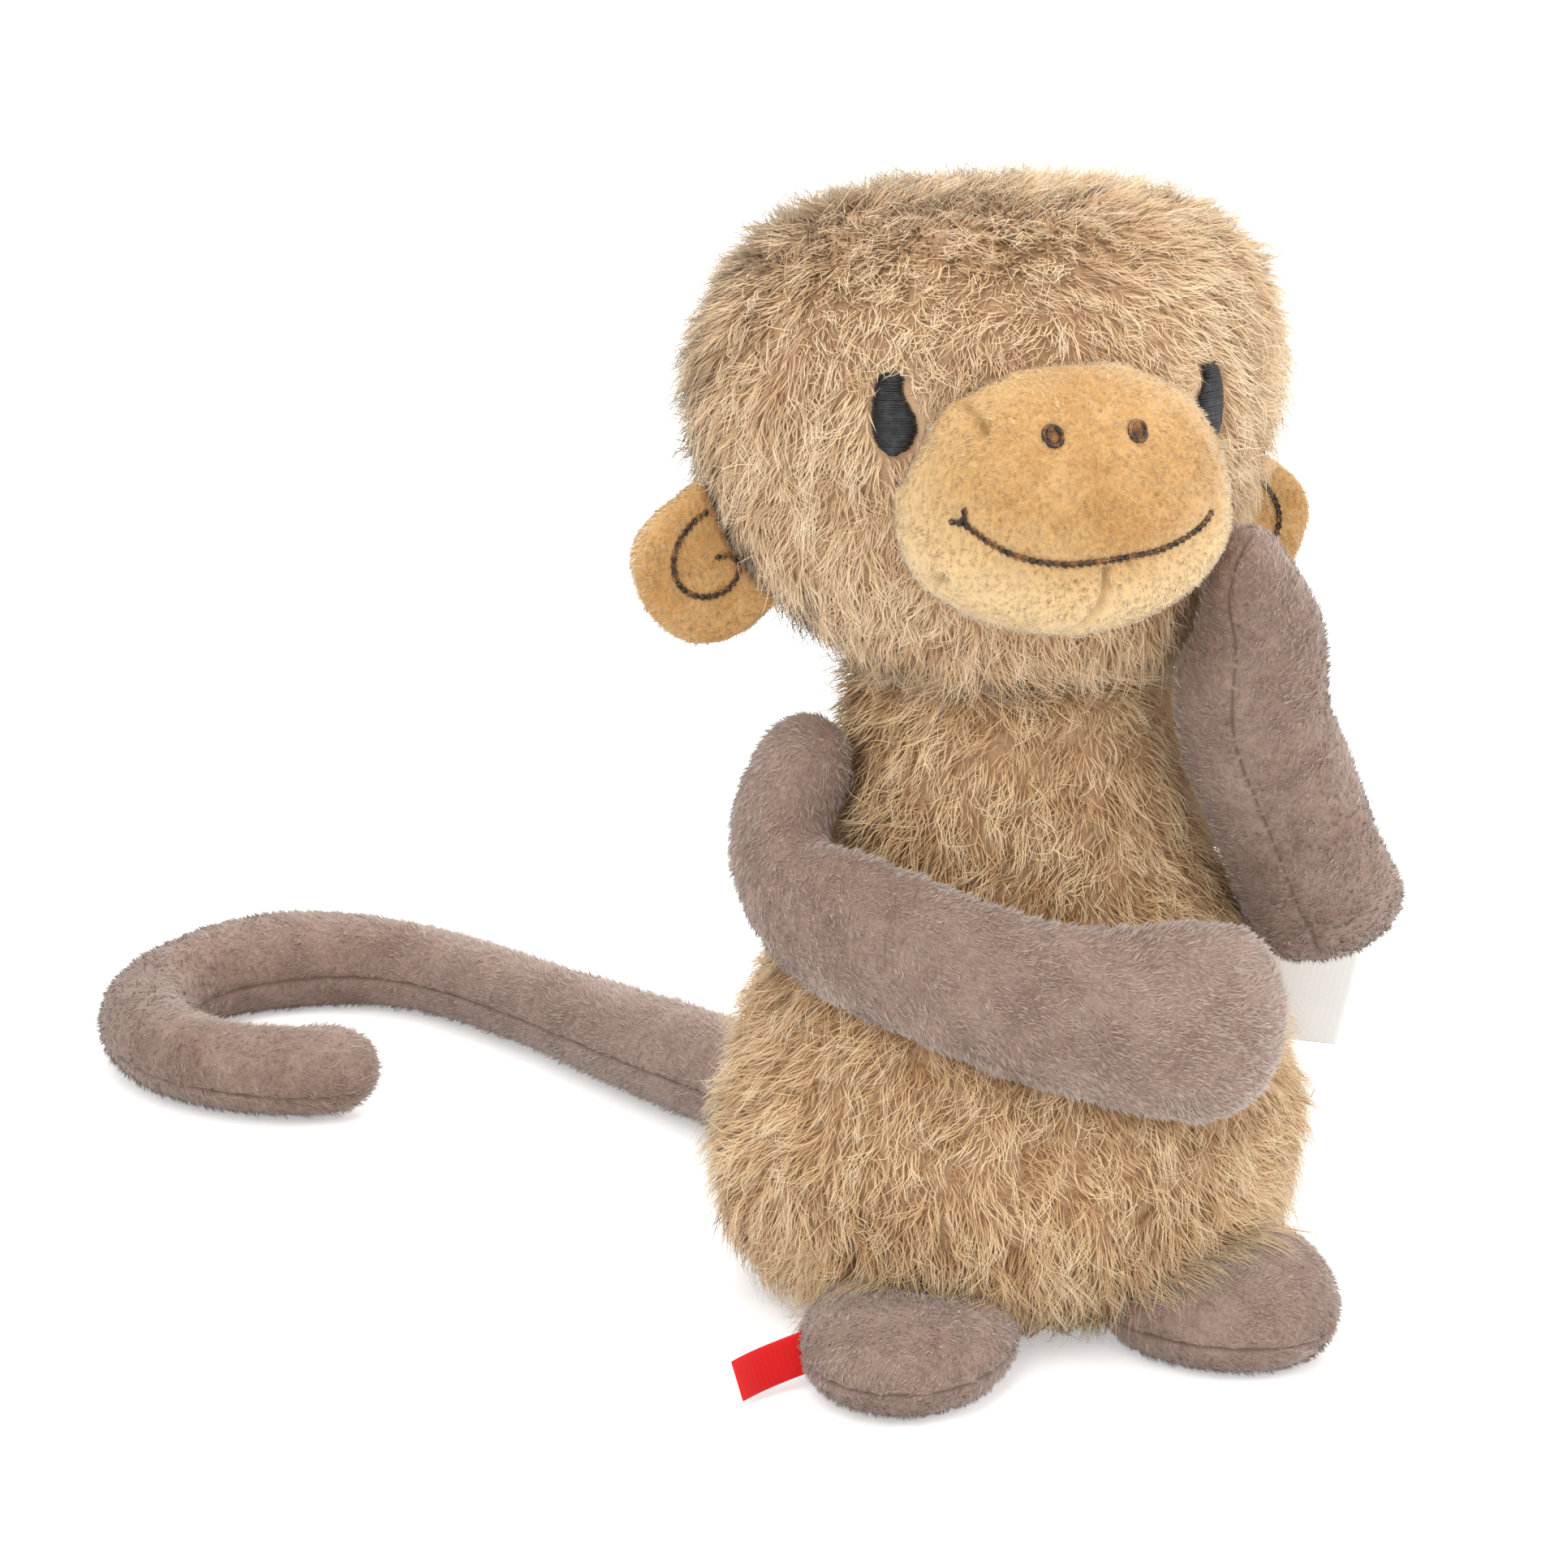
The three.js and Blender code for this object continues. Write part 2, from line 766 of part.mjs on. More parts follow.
// Puts a piece that is drawn flat, with its sewn edge along the second axis, on the side of the head
function placeEar(side) {
  const rootRadius = radiusOnOutline(headOutline, earRootRise);
  const lean = radians(earRootSlope);
  return (point) => {
    const x = rootRadius + point.x * Math.cos(lean) + point.y * Math.sin(lean);
    const rise = earRootRise - point.x * Math.sin(lean) + point.y * Math.cos(lean);
    point.set(side * x + headLeanAt(cheekRise), earBehindFace - point.z, rise + headFloor);
    return point;
  };
}

function earHinge(side) {
  const place = placeEar(side);
  const low = place(new THREE.Vector3(sewnGap, -1, 0));
  const high = place(new THREE.Vector3(sewnGap, 1, 0));
  const middle = place(new THREE.Vector3(sewnGap, 0, 0));
  return hinge(middle, high.sub(low).multiplyScalar(-side), -earFlap, earFlap);
}

function earPieces(side) {
  const [first, ...rest] = earOutline;
  const [last] = earOutline.slice(-1);
  const shape = new THREE.Shape();
  shape.moveTo(-earRootDepth - earEdgeRound, first[1]);
  shape.lineTo(first[0], first[1]);
  shape.splineThru(rest.map(([x, y]) => new THREE.Vector2(x, y)));
  shape.lineTo(-earRootDepth - earEdgeRound, last[1]);
  const block = new THREE.ExtrudeGeometry(shape, {
    depth: earThickness - 2 * earEdgeRound,
    bevelThickness: earEdgeRound,
    bevelSize: earEdgeRound,
    bevelOffset: -earEdgeRound,
    bevelSegments: 2,
    curveSegments: 2,
  });
  block.translate(0, 0, earEdgeRound - earThickness / 2);
  const form = toSolid(block);
  const reach = 2 * Math.max(...earOutline.flat());
  const frontHalf = boxBetween(
    new THREE.Vector3(-reach, -reach, sewnGap / 2),
    new THREE.Vector3(reach, reach, earThickness),
  );
  const backHalf = boxBetween(
    new THREE.Vector3(-reach, -reach, -earThickness),
    new THREE.Vector3(reach, reach, -sewnGap / 2),
  );
  const lift = earThickness / 2 + sewnGap + earStitchRadius;
  const route = new THREE.CatmullRomCurve3(earSpiral.map(([x, y]) => new THREE.Vector3(x, y, lift)));
  const section = ovalPoints(0, 0, earStitchRadius, earStitchRadius, threadSides);
  const thread = new THREE.Shape(section.map(([x, y]) => new THREE.Vector2(x, y)));
  const spiral = new THREE.ExtrudeGeometry(thread, { steps: earThreadSteps, extrudePath: route });
  const flat = [form.intersect(frontHalf), form.intersect(backHalf), toSolid(spiral)];
  const head = headForm(sewnGap);
  const pivot = earHinge(side);
  return flat.map((solid) => clearOfSwing(placeSolid(solid, placeEar(side), side), head, pivot));
}

// Moves every vertex of a solid, and turns its faces round where the move mirrors it
function placeSolid(solid, place, side) {
  const geometry = toGeometry(solid);
  shapeVertices(geometry, place);
  if (side < 0) {
    flipFaces(geometry);
  }
  return toSolid(geometry);
}

function flipFaces(geometry) {
  const index = geometry.index.array;
  for (let i = 0; i < index.length; i += 3) {
    const first = index[i];
    index[i] = index[i + 1];
    index[i + 1] = first;
  }
}

// Feet: a top panel and a sole, sewn together low down, round their stuffing.
// The outline is given in shares of the half width, and of the rise below and above the seam.

function footForm(side, inset) {
  const rise = footHeight - footSeamHeight;
  const outline = [
    [0, inset],
    [footHalfWidth * 0.72 - inset, inset],
    [footHalfWidth * 0.9 - inset, inset + (footSeamHeight - inset) * 0.3],
    [footHalfWidth - inset, footSeamHeight],
    [footHalfWidth * 0.95 - inset, footSeamHeight + rise * 0.38],
    [footHalfWidth * 0.76 - inset, footSeamHeight + rise * 0.74 - inset * 0.3],
    [footHalfWidth * 0.42 - inset, footSeamHeight + rise * 0.94 - inset * 0.7],
    [0, footHeight - inset],
  ];
  const profile = outline.map(([r, z]) => new THREE.Vector2(r, z));
  return turnedForm(profile, footFacets, (point) => {
    point.y *= (footHalfLength - inset) / (footHalfWidth - inset);
    placeFoot(point, side);
  });
}

function placeFoot(point, side) {
  point.applyAxisAngle(new THREE.Vector3(0, 0, 1), radians(side * footToeOut));
  point.x += side * footSide + feetShift;
  point.y -= footForward;
  return point;
}

// Each foot lifts its toe about the line where its top meets the belly
function footHinge(side) {
  const middle = placeFoot(new THREE.Vector3(), side);
  const toe = placeFoot(new THREE.Vector3(0, -1, 0), side).sub(middle);
  const round = THREE.MathUtils.radToDeg(Math.atan2(middle.y, middle.x));
  const at = besideBody(round, footHeight - footHingeDrop, 0);
  return hinge(at, toe.cross(new THREE.Vector3(0, 0, 1)), 0, footLift);
}

function footPieces(side) {
  const far = 4 * bellyRadius;
  const above = boxBetween(
    new THREE.Vector3(-far, -far, footSeamHeight + sewnGap / 2),
    new THREE.Vector3(far, far, far),
  );
  const below = boxBetween(
    new THREE.Vector3(-far, -far, -far),
    new THREE.Vector3(far, far, footSeamHeight - sewnGap / 2),
  );
  const floor = boxBetween(new THREE.Vector3(-far, -far, -far), new THREE.Vector3(far, far, -floorGap));
  const around = bodyForm(sewnGap).add(floor);
  const pivot = footHinge(side);
  const skin = clearOfSwing(footForm(side, 0).subtract(footForm(side, shortPileThickness)), around, pivot);
  const stuffing = clearOfSwing(footForm(side, shortPileThickness + sewnGap), around, pivot);
  return [skin.intersect(above), skin.intersect(below), stuffing];
}

// Ribbon flag and cloth label: flat loops of ribbon that stand out from a seam

function ribbon(seat, length, width, turn, droop) {
  const form = new THREE.BoxGeometry(length, ribbonThickness, width);
  form.translate(length / 2, 0, 0);
  form.rotateY(radians(droop));
  form.rotateZ(radians(turn));
  form.translate(seat.x, seat.y, seat.z);
  return toSolid(form);
}

function footFlag() {
  const round = radians(flagRound);
  const off = sewnGap + ribbonThickness / 2;
  const seat = new THREE.Vector3(
    -(footHalfWidth + off) * Math.cos(round),
    -(footHalfLength + off) * Math.sin(round),
    footSeamHeight,
  );
  placeFoot(seat, -1);
  return ribbon(seat, flagLength, flagWidth, flagTurn, flagDroop);
}

function sideLabel() {
  const seat = besideBody(labelTurn, labelHeight, 0);
  return ribbon(seat, labelLength, labelWidth, labelTurn, labelDroop).subtract(bodyForm(sewnGap));
}

// The hand-sewn thread round the neck
function neckThread() {
  const middle = neckRadius + neckThreadReach;
  const height = neckHeight + sewnGap / 2;
  const ring = ovalPoints(middle, height, neckThreadRadius, neckThreadRadius, threadSides);
  const profile = [...ring, ring[0]].map(([radius, z]) => new THREE.Vector2(radius, z));
  return turnedForm(profile, neckThreadFacets, () => {}).subtract(bodyForm(sewnGap));
}

// Finish and assembly

function cloth(color, roughness) {
  return new THREE.MeshStandardMaterial({ color, roughness, metalness: 0 });
}

const monkey = new THREE.Group();
monkey.name = 'plush_monkey';

function addPiece(name, solid, material) {
  const mesh = new THREE.Mesh(toGeometry(solid), material);
  mesh.name = name;
  monkey.add(mesh);
}

const headFur = () => cloth(0xc09f7f, 0.95);
const bodyFur = () => cloth(0xc8a07c, 0.95);
const taupePile = () => cloth(0xad9486, 0.9);
const yellowPile = () => cloth(0xd8ae77, 0.9);
const wadding = () => cloth(0xf2f0ea, 1);
const brownThread = () => cloth(0x3c2312, 0.6);
const blackThread = () => cloth(0x1d1b1c, 0.5);

const [bodyCover, bodyStuffing, bag] = bodyPieces();
addPiece('body_cover', bodyCover, bodyFur());
addPiece('body_stuffing', bodyStuffing, wadding());
addPiece('pellet_bag', bag, cloth(0xdedbd2, 0.9));
addPiece('neck_thread', neckThread(), brownThread());

const [headCover, headStuffing] = headPieces();
addPiece('head_cover', headCover, headFur());
addPiece('head_stuffing', headStuffing, wadding());

const [muzzleCover, muzzleStuffing] = muzzlePieces();
addPiece('muzzle_cover', muzzleCover, yellowPile());
addPiece('muzzle_stuffing', muzzleStuffing, wadding());

const embroiderySkin = muzzleSkin();
const mouthBlock = outlineBlock(mouthPoints(), 2 * templeRadius);
addPiece('mouth_stitching', embroiderySkin.intersect(mouthBlock), brownThread());

const neckHinge = hinge(new THREE.Vector3(0, 0, neckHeight), new THREE.Vector3(0, 0, -1), 0, neckTurn);
const hinges = { head: neckHinge };

const sides = [
  ['right', -1],
  ['left', 1],
];
for (const [name, side] of sides) {
  addPiece(`eye_${name}`, eyePiece(side), blackThread());
  addPiece(`nostril_${name}`, nostrilPiece(embroiderySkin, side), brownThread());

  const [earFront, earBack, earThread] = earPieces(side);
  addPiece(`ear_${name}_front`, earFront, yellowPile());
  addPiece(`ear_${name}_back`, earBack, yellowPile());
  addPiece(`ear_${name}_spiral`, earThread, brownThread());

  const [footTop, footSole, footStuffing] = footPieces(side);
  addPiece(`foot_${name}_top`, footTop, taupePile());
  addPiece(`foot_${name}_sole`, footSole, taupePile());
  addPiece(`foot_${name}_stuffing`, footStuffing, wadding());

  hinges[`ear_${name}`] = earHinge(side);
  hinges[`foot_${name}`] = footHinge(side);
}

const limbs = [
  ['arm_right', rightArm(), armSides, rightArmSteps],
  ['arm_left', leftArm(), armSides, leftArmSteps],
  ['tail', tail(), tailSides, tailSteps],
];
for (const [name, limb, limbSides, steps] of limbs) {
  const [cover, stuffing] = limbPieces(limb, shortPileThickness, limbSides, steps);
  hinges[name] = limb.hinge;
  addPiece(`${name}_cover`, cover, taupePile());
  addPiece(`${name}_stuffing`, stuffing, wadding());
}

addPiece('foot_flag', footFlag(), cloth(0xd6151b, 0.5));
addPiece('side_label', sideLabel(), cloth(0xf0efec, 0.5));

monkey.userData.hinges = hinges;

export default monkey;
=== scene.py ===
"""A plush monkey that sits with one hand on its belly and the other at its cheek.

Head and body are long shaggy fur, arms, tail and feet are short taupe pile, and the muzzle and
the ears are short honey pile. The face and the ears are embroidered. Everything is in metres.
"""

import math

import bpy
import numpy as np
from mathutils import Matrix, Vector
from mathutils.bvhtree import BVHTree
from mathutils.kdtree import KDTree


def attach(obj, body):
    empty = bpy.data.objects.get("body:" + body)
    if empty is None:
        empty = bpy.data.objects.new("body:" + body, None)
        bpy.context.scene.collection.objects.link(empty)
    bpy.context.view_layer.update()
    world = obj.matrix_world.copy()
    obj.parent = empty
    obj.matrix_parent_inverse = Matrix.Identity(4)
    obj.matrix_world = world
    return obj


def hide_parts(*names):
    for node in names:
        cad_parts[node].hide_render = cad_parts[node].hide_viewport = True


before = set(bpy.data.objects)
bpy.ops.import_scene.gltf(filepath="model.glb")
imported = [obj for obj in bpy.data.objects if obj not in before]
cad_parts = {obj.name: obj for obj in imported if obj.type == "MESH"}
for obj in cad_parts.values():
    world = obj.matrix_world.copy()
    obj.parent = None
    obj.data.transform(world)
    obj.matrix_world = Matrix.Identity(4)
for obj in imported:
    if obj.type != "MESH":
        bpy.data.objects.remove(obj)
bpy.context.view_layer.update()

MM = 0.001
UP = np.array([0.0, 0.0, 1.0])
SIDES = (("right", -1), ("left", 1))

# Camera: its side and its height in degrees, how far it stands, where it looks, and its lens
CAMERA_TURN = 18
CAMERA_HEIGHT = 16
CAMERA_DISTANCE = 1200 * MM
CAMERA_ASIDE = -56 * MM
CAMERA_AIM_HEIGHT = 130 * MM
SENSOR = 36
FOCAL = 111.8
TO_CAMERA = np.array([-0.3, -0.91, 0.27])

# Lamps: name, place, size and power
LAMPS = (
    ("key", (-0.95, -1.0, 1.5), 1.2, 15.5),
    ("fill", (1.4, -0.7, 0.6), 1.4, 13.5),
    ("low", (-0.2, -1.5, 0.15), 1.0, 2.0),
    ("top", (-0.1, -0.1, 1.7), 1.0, 10),
    ("rim", (0.9, 1.2, 1.3), 1.2, 16),
)
LAMP_AIM = Vector((0, 0, 0.12))
ROOM_LIGHT = 0.72
FLOOR_GLOW = 0.4

# Places: the middle line of the face, heights, and the right shoulder
FACE_MIDDLE = -9 * MM
HEAD_FLOOR = 166.35 * MM
HEAD_MIDDLE_HEIGHT = 232 * MM
MUZZLE_MIDDLE_HEIGHT = 222 * MM
NOSE_HEIGHT = 226 * MM
INSTEP_HEIGHT = 12 * MM
SHOULDER = np.array([-44, 0, 160]) * MM

# Points of a mesh closer together than this are merged
MERGE_DISTANCE = 1e-6

# Stuffing: how many moments it swells for, and how far from a seam it is held back
SWELL_MOMENTS = 20
SEAM_HOLD = 2.5 * MM

# Seams and darts in the short pile
SEAM_DEPTH = 0.55 * MM
PUCKER = 0.6
DART_WIDTH = 1.3 * MM
DART_DEPTH = 2.2 * MM
DART_SHADE = 0.9
CREASE_SHADE = 0.84
FAR_FROM_SEAM = 1.0

# The hairs' map keeps clear of its own edges
MAP_EDGE = 0.04

# Long fur: guard hairs in locks, over an undercoat. Angles are in degrees, and where there are two
# values, the first is for guard hairs and the second for the undercoat.
FUR_ROOTS = (0.18 * MM, 0.36 * MM)
FUR_TONES = (0.16, -0.14)
FUR_FLATNESS = 0.55
FUR_SOFTNESS = 0.62
GUARD_PLACES = 5
GUARD_RISE = 54
GUARD_FALL = 10
UNDER_RISE = 38
UNDER_SHARE = 0.5
HAIRS_IN_A_LOCK = 6
LOCK_CURL = 48
LOCK_SWAY = 34
LOCK_RISE = 56
LOCK_FALL = 11
LOCK_HOLD = 0.55
STRAY_SHARE = 0.17
HEAD_COAT = {"length": 13.6 * MM, "guards": 17000, "unders": 44000, "seed": 101}
BODY_COAT = {"length": 13.5 * MM, "guards": 19000, "unders": 42000, "seed": 201}

# Short pile
HAIRS_IN_A_TUFT = 4
PILE_RISE = 34
PILE_SOFTNESS = 0.5
ROOT_SINK = 0.3 * MM

# How deep in a form a place still counts as covered by it
COVER_DEPTH = 12 * MM

# Fur over the feet: up to which height it is laid over them, and how far outward at each step
DRAPE_HEIGHT = 60 * MM
DRAPE_STEP = 3 * MM

# What covers each kind of form: its slot, its cloth and its hair
HEAD_FUR = ("head_fur", "fur_backing", "head_hair")
BODY_FUR = ("body_fur", "fur_backing", "body_hair")
HONEY_PILE = ("yellow_pile", "honey_plush", "honey_hair")
TAUPE_PILE = ("taupe_pile", "taupe_plush", "taupe_hair")


# Small sums on rows of vectors


def unit(vectors):
    """Every row at length one."""
    size = np.linalg.norm(vectors, axis=-1, keepdims=True)
    return vectors / np.maximum(size, 1e-12)


def dot(first, second):
    """The scalar product of each row with its partner."""
    return np.sum(first * second, axis=-1, keepdims=True)


def laid_on(vectors, normals):
    """Vectors pressed flat on the surface that has these normals, at length one."""
    return unit(vectors - normals * dot(vectors, normals))


def leaned(first, second, angle):
    """Directions turned from the first towards the second."""
    return first * np.cos(angle)[:, None] + second * np.sin(angle)[:, None]


def turned_flat(lie, facing, angle):
    """Directions on a surface, turned about its normals."""
    return leaned(lie, np.cross(facing, lie), angle)


def same_way(*direction):
    """A rule that gives every place one direction."""
    return lambda at, other: np.tile(direction, (len(at), 1))


def drift(points, size, seed):
    """A soft random field between about -1 and 1, whose patches are about `size` across."""
    waves = 7
    random = np.random.default_rng(seed)
    total = np.zeros(len(points))
    for _ in range(waves):
        heading = unit(random.normal(size=3))
        pitch = 2 * math.pi / (size * random.uniform(0.8, 2.2))
        total += np.sin(points @ heading * pitch + random.uniform(0, 2 * math.pi))
    return total / math.sqrt(waves)


def hill(distance, width):
    """One at no distance, and falling away smoothly over the width."""
    return np.exp(-((distance / width) ** 2))


def line_distance(points, line):
    """The distance from each point to a line of straight stretches."""
    best = np.full(len(points), np.inf)
    for first, second in zip(line[:-1], line[1:]):
        along = second - first
        share = np.clip((points - first) @ along / (along @ along), 0, 1)[:, None]
        best = np.minimum(best, np.linalg.norm(points - first - along * share, axis=1))
    return best


# Objects and their meshes


def only(piece):
    """Selects one object and nothing else."""
    bpy.ops.object.select_all(action="DESELECT")
    piece.select_set(True)
    bpy.context.view_layer.objects.active = piece


def linked(name, data):
    piece = bpy.data.objects.new(name, data)
    bpy.context.scene.collection.objects.link(piece)
    return piece


def assign(target, **values):
    """Sets several properties of one thing."""
    for name, value in values.items():
        setattr(target, name, value)
    return target


def modify(piece, kind, **settings):
    """Adds a modifier with its settings and applies it."""
    only(piece)
    modifier = assign(piece.modifiers.new(kind.lower(), kind), **settings)
    bpy.ops.object.modifier_apply(modifier=modifier.name)


def in_edit_mode(piece, operator, **settings):
    """Runs one edit-mode operator on the whole mesh."""
    only(piece)
    bpy.ops.object.mode_set(mode="EDIT")
    bpy.ops.mesh.select_all(action="SELECT")
    operator(**settings)
    bpy.ops.object.mode_set(mode="OBJECT")


def rows_of(items, what, width=3, kind=float):
    """One value of every item of a mesh, a row for each."""
    flat = np.empty(len(items) * width, kind)
    items.foreach_get(what, flat)
    return flat.reshape(-1, width)


def points_of(piece):
    return rows_of(piece.data.vertices, "co")


def normals_of(piece):
    return rows_of(piece.data.vertices, "normal")


def set_points(piece, points):
    piece.data.vertices.foreach_set("co", points.astype(np.float32).ravel())
    piece.data.update()


def smooth(piece):
    piece.data.polygons.foreach_set("use_smooth", np.ones(len(piece.data.polygons), bool))
    piece.data.update()
    return piece


def paint(piece, name, values):
    """Keeps one number for each point of the mesh, for the material to read."""
    layer = piece.data.attributes.new(name, "FLOAT", "POINT")
    layer.data.foreach_set("value", np.asarray(values, np.float32))


def surface(piece):
    """A search tree over the faces of a mesh."""
    points = [vertex.co.copy() for vertex in piece.data.vertices]
    return BVHTree.FromPolygons(points, [tuple(face.vertices) for face in piece.data.polygons])


def nearest_of(points, centres):
    """Which of the centres is nearest to each point."""
    tree = KDTree(len(centres))
    for index, centre in enumerate(centres):
        tree.insert(centre, index)
    tree.balance()
    return np.array([tree.find(point)[1] for point in points])


def joined_copy(name, nodes):
    """Cloth and stuffing of a form in one new mesh, with its doubled points merged."""
    copies = [linked(name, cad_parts[node].data.copy()) for node in nodes]
    only(copies[0])
    for copy in copies:
        copy.select_set(True)
        copy.data.materials.clear()
    bpy.ops.object.join()
    piece = copies[0]
    piece.name = name
    in_edit_mode(piece, bpy.ops.mesh.remove_doubles, threshold=MERGE_DISTANCE)
    return piece


def keep_outside(piece):
    """Drops every closed hollow that the even faces left inside the form."""
    name = piece.name
    in_edit_mode(piece, bpy.ops.mesh.separate, type="LOOSE")
    parts = sorted(bpy.context.selected_objects, key=lambda part: len(part.data.vertices))
    outside = parts.pop()
    for part in parts:
        bpy.data.objects.remove(part)
    outside.name = name
    in_edit_mode(outside, bpy.ops.mesh.normals_make_consistent, inside=False)
    return outside


# Stuffed forms

# Where the stuffing is packed fuller: the place, how far round it, and by how much, in millimetres.
# Below zero the cloth is drawn in.
FULLER = {
    "head": [((50, 0, 256), 26, 5.5)],
    "muzzle": [((30, -62, 203), 15, 1.8), ((-12, -64, 188), 20, 2.2)],
    "body": [
        ((54, -8, 100), 26, 3.5), ((66, -8, 36), 26, 4.5), ((-64, 10, 22), 26, 4.5),
        ((-42, 2, 164), 16, 3), ((-4, -60, 4), 17, -5),
    ],
    "arm_right": [((26, -64, 70), 24, 4.5)],
    "tail": [((-128, 268, 22), 30, 2.6), ((-118, 170, 14), 14, 4)],
    "foot_right": [((-37, -49, 26), 15, -4)],
    "foot_left": [((50, -56, 26), 18, 6)],
}


def swell(piece, held, shrink, most):
    """Air pressure fills the cover out, while the points in `held` stay near their seam."""
    normals = normals_of(piece)
    start = points_of(piece) - normals * shrink * (1 - held[:, None])
    set_points(piece, start)
    pins = piece.vertex_groups.new(name="sewn")
    for place, weight in enumerate(held):
        pins.add([place], float(weight), "REPLACE")
    cloth = piece.modifiers.new("stuffing", "CLOTH")
    assign(cloth.settings, use_pressure=True, uniform_pressure_force=4, mass=0.02, quality=4)
    cloth.settings.effector_weights.gravity = 0
    cloth.settings.vertex_group_mass = pins.name
    scene = bpy.context.scene
    for moment in range(1, SWELL_MOMENTS + 1):
        scene.frame_set(moment)
    shown = piece.evaluated_get(bpy.context.evaluated_depsgraph_get())
    travel = points_of(shown) - start
    far = np.linalg.norm(travel, axis=1, keepdims=True)
    piece.modifiers.remove(cloth)
    piece.vertex_groups.clear()
    scene.frame_set(1)
    set_points(piece, start + travel * np.minimum(1, most / np.maximum(far, 1e-9)))


def stuffed(name, nodes, even, seam=None, levels=1, soften=6, shrink=0.7 * MM, most=2.6 * MM):
    """A stuffed form: even faces, swollen between its seams.

    `seam` gives each point's distance from a line of stitches, below zero on its other side.
    """
    piece = joined_copy(name, nodes)
    modify(piece, "REMESH", mode="VOXEL", voxel_size=even)
    piece = keep_outside(piece)
    modify(piece, "SMOOTH", factor=0.5, iterations=soften)
    points = points_of(piece)
    away = seam(points) if seam else np.full(len(points), FAR_FROM_SEAM)
    swell(piece, hill(away, SEAM_HOLD), shrink, most)
    modify(piece, "SMOOTH", factor=0.5, iterations=2)
    modify(piece, "SUBSURF", levels=levels, render_levels=levels)
    for place, width, rise in FULLER.get(name.removesuffix("_form"), ()):
        fuller(piece, np.array(place) * MM, width * MM, rise * MM)
    return smooth(piece)


def fuller(piece, place, width, rise):
    """Packs more stuffing behind one place of a form, which stays above the floor."""
    press(piece, lambda points: np.linalg.norm(points - place, axis=1), width, -rise)
    points = points_of(piece)
    points[:, 2] = np.maximum(points[:, 2], 0)
    set_points(piece, points)


def draw_in(piece, seam):
    """Slides a row of points onto the stitches and pulls it in, which leaves a fine crease."""
    points = points_of(piece)
    away = seam(points)
    first, second = rows_of(piece.data.edges, "vertices", 2, np.int32).T
    crossing = away[first] * away[second] < 0
    crossing &= np.abs(away[first] - away[second]) < FAR_FROM_SEAM / 2
    first, second = first[crossing], second[crossing]
    nearer = np.abs(away[first]) < np.abs(away[second])
    near = np.where(nearer, first, second)
    far = np.where(nearer, second, first)
    share = away[near] / (away[near] - away[far])
    order = np.argsort(-share)
    near, far, share = near[order], far[order], share[order]
    points[near] = points[near] + (points[far] - points[near]) * share[:, None]
    sewn = np.zeros(len(points))
    sewn[near] = 1
    pucker = 1 + PUCKER * drift(points, 5 * MM, 7)
    set_points(piece, points - normals_of(piece) * (sewn * pucker)[:, None] * SEAM_DEPTH)
    # The sewn row is kept for the cloth, which paints shade along it.
    paint(piece, "sewn", sewn)


def press(piece, distance, width, depth):
    """Presses a soft valley into the form round the places where the distance is small."""
    valley = hill(distance(points_of(piece)), width)
    set_points(piece, points_of(piece) - normals_of(piece) * valley[:, None] * depth)
    return valley


class Route:
    """A smooth line through a few points, with the nearest place on it for any other point."""

    def __init__(self, across, places):
        steps = 24
        places = np.array(places, float) * MM
        before = np.vstack([2 * places[0] - places[1], places, 2 * places[-1] - places[-2]])
        share = np.linspace(0, 1, steps, endpoint=False)[:, None]
        line = []
        for a, b, c, d in zip(before[:-3], before[1:-2], before[2:-1], before[3:]):
            bend = (2 * a - 5 * b + 4 * c - d) * share**2 + (3 * b - a - 3 * c + d) * share**3
            line.append((2 * b + (c - a) * share + bend) / 2)
        self.at = np.vstack([*line, places[-1:]])
        self.along = unit(np.gradient(self.at, axis=0))
        self.across = laid_on(across(self.at, self.along), self.along)
        self.out = np.cross(self.across, self.along)

    def offsets(self, points):
        """How far each point lies across and out from the line, and along it from 0 to 1."""
        near = nearest_of(points, self.at)
        away = points - self.at[near]
        across = np.sum(away * self.across[near], axis=1)
        out = np.sum(away * self.out[near], axis=1)
        return across, out, near / (len(self.at) - 1)

    def heading(self, at, facing):
        return self.along[nearest_of(at, self.at)]


def round_the_belly(at, along):
    return np.cross(along, unit(at * [1, 1, 0]))


def tail_places():
    """From the back of the seat along the floor, and round the hook."""
    places = [(-12, 55, 24), (-25, 94, 19), (-45, 151, 16)]
    for turn in np.radians(np.linspace(35, 275, 9)):
        places.append((-128 + 50 * math.cos(turn), 219 + 50 * math.sin(turn), 13.3))
    return places


ARM_RIGHT = Route(round_the_belly, [
    (-47, -3, 152), (-56, -4, 139), (-62, -6, 127), (-63, -13, 116), (-59, -25, 110),
    (-50, -36, 107), (-42, -46, 104), (-29, -57, 99), (-8, -65, 93), (19, -65, 89), (38, -58, 86),
    (48, -52, 85),
])
ARM_LEFT = Route(same_way(0.94, -0.19, 0.29), [
    (51, 2, 148), (54, 2, 135), (61, 1, 124), (69, 0, 112), (76, -7, 101), (77, -19, 96),
    (72, -31, 101), (64, -37, 114), (54, -41, 136), (45, -45, 157), (43, -50, 179), (39, -53, 191),
    (38, -58, 204),
])
TAIL = Route(same_way(*UP), tail_places())


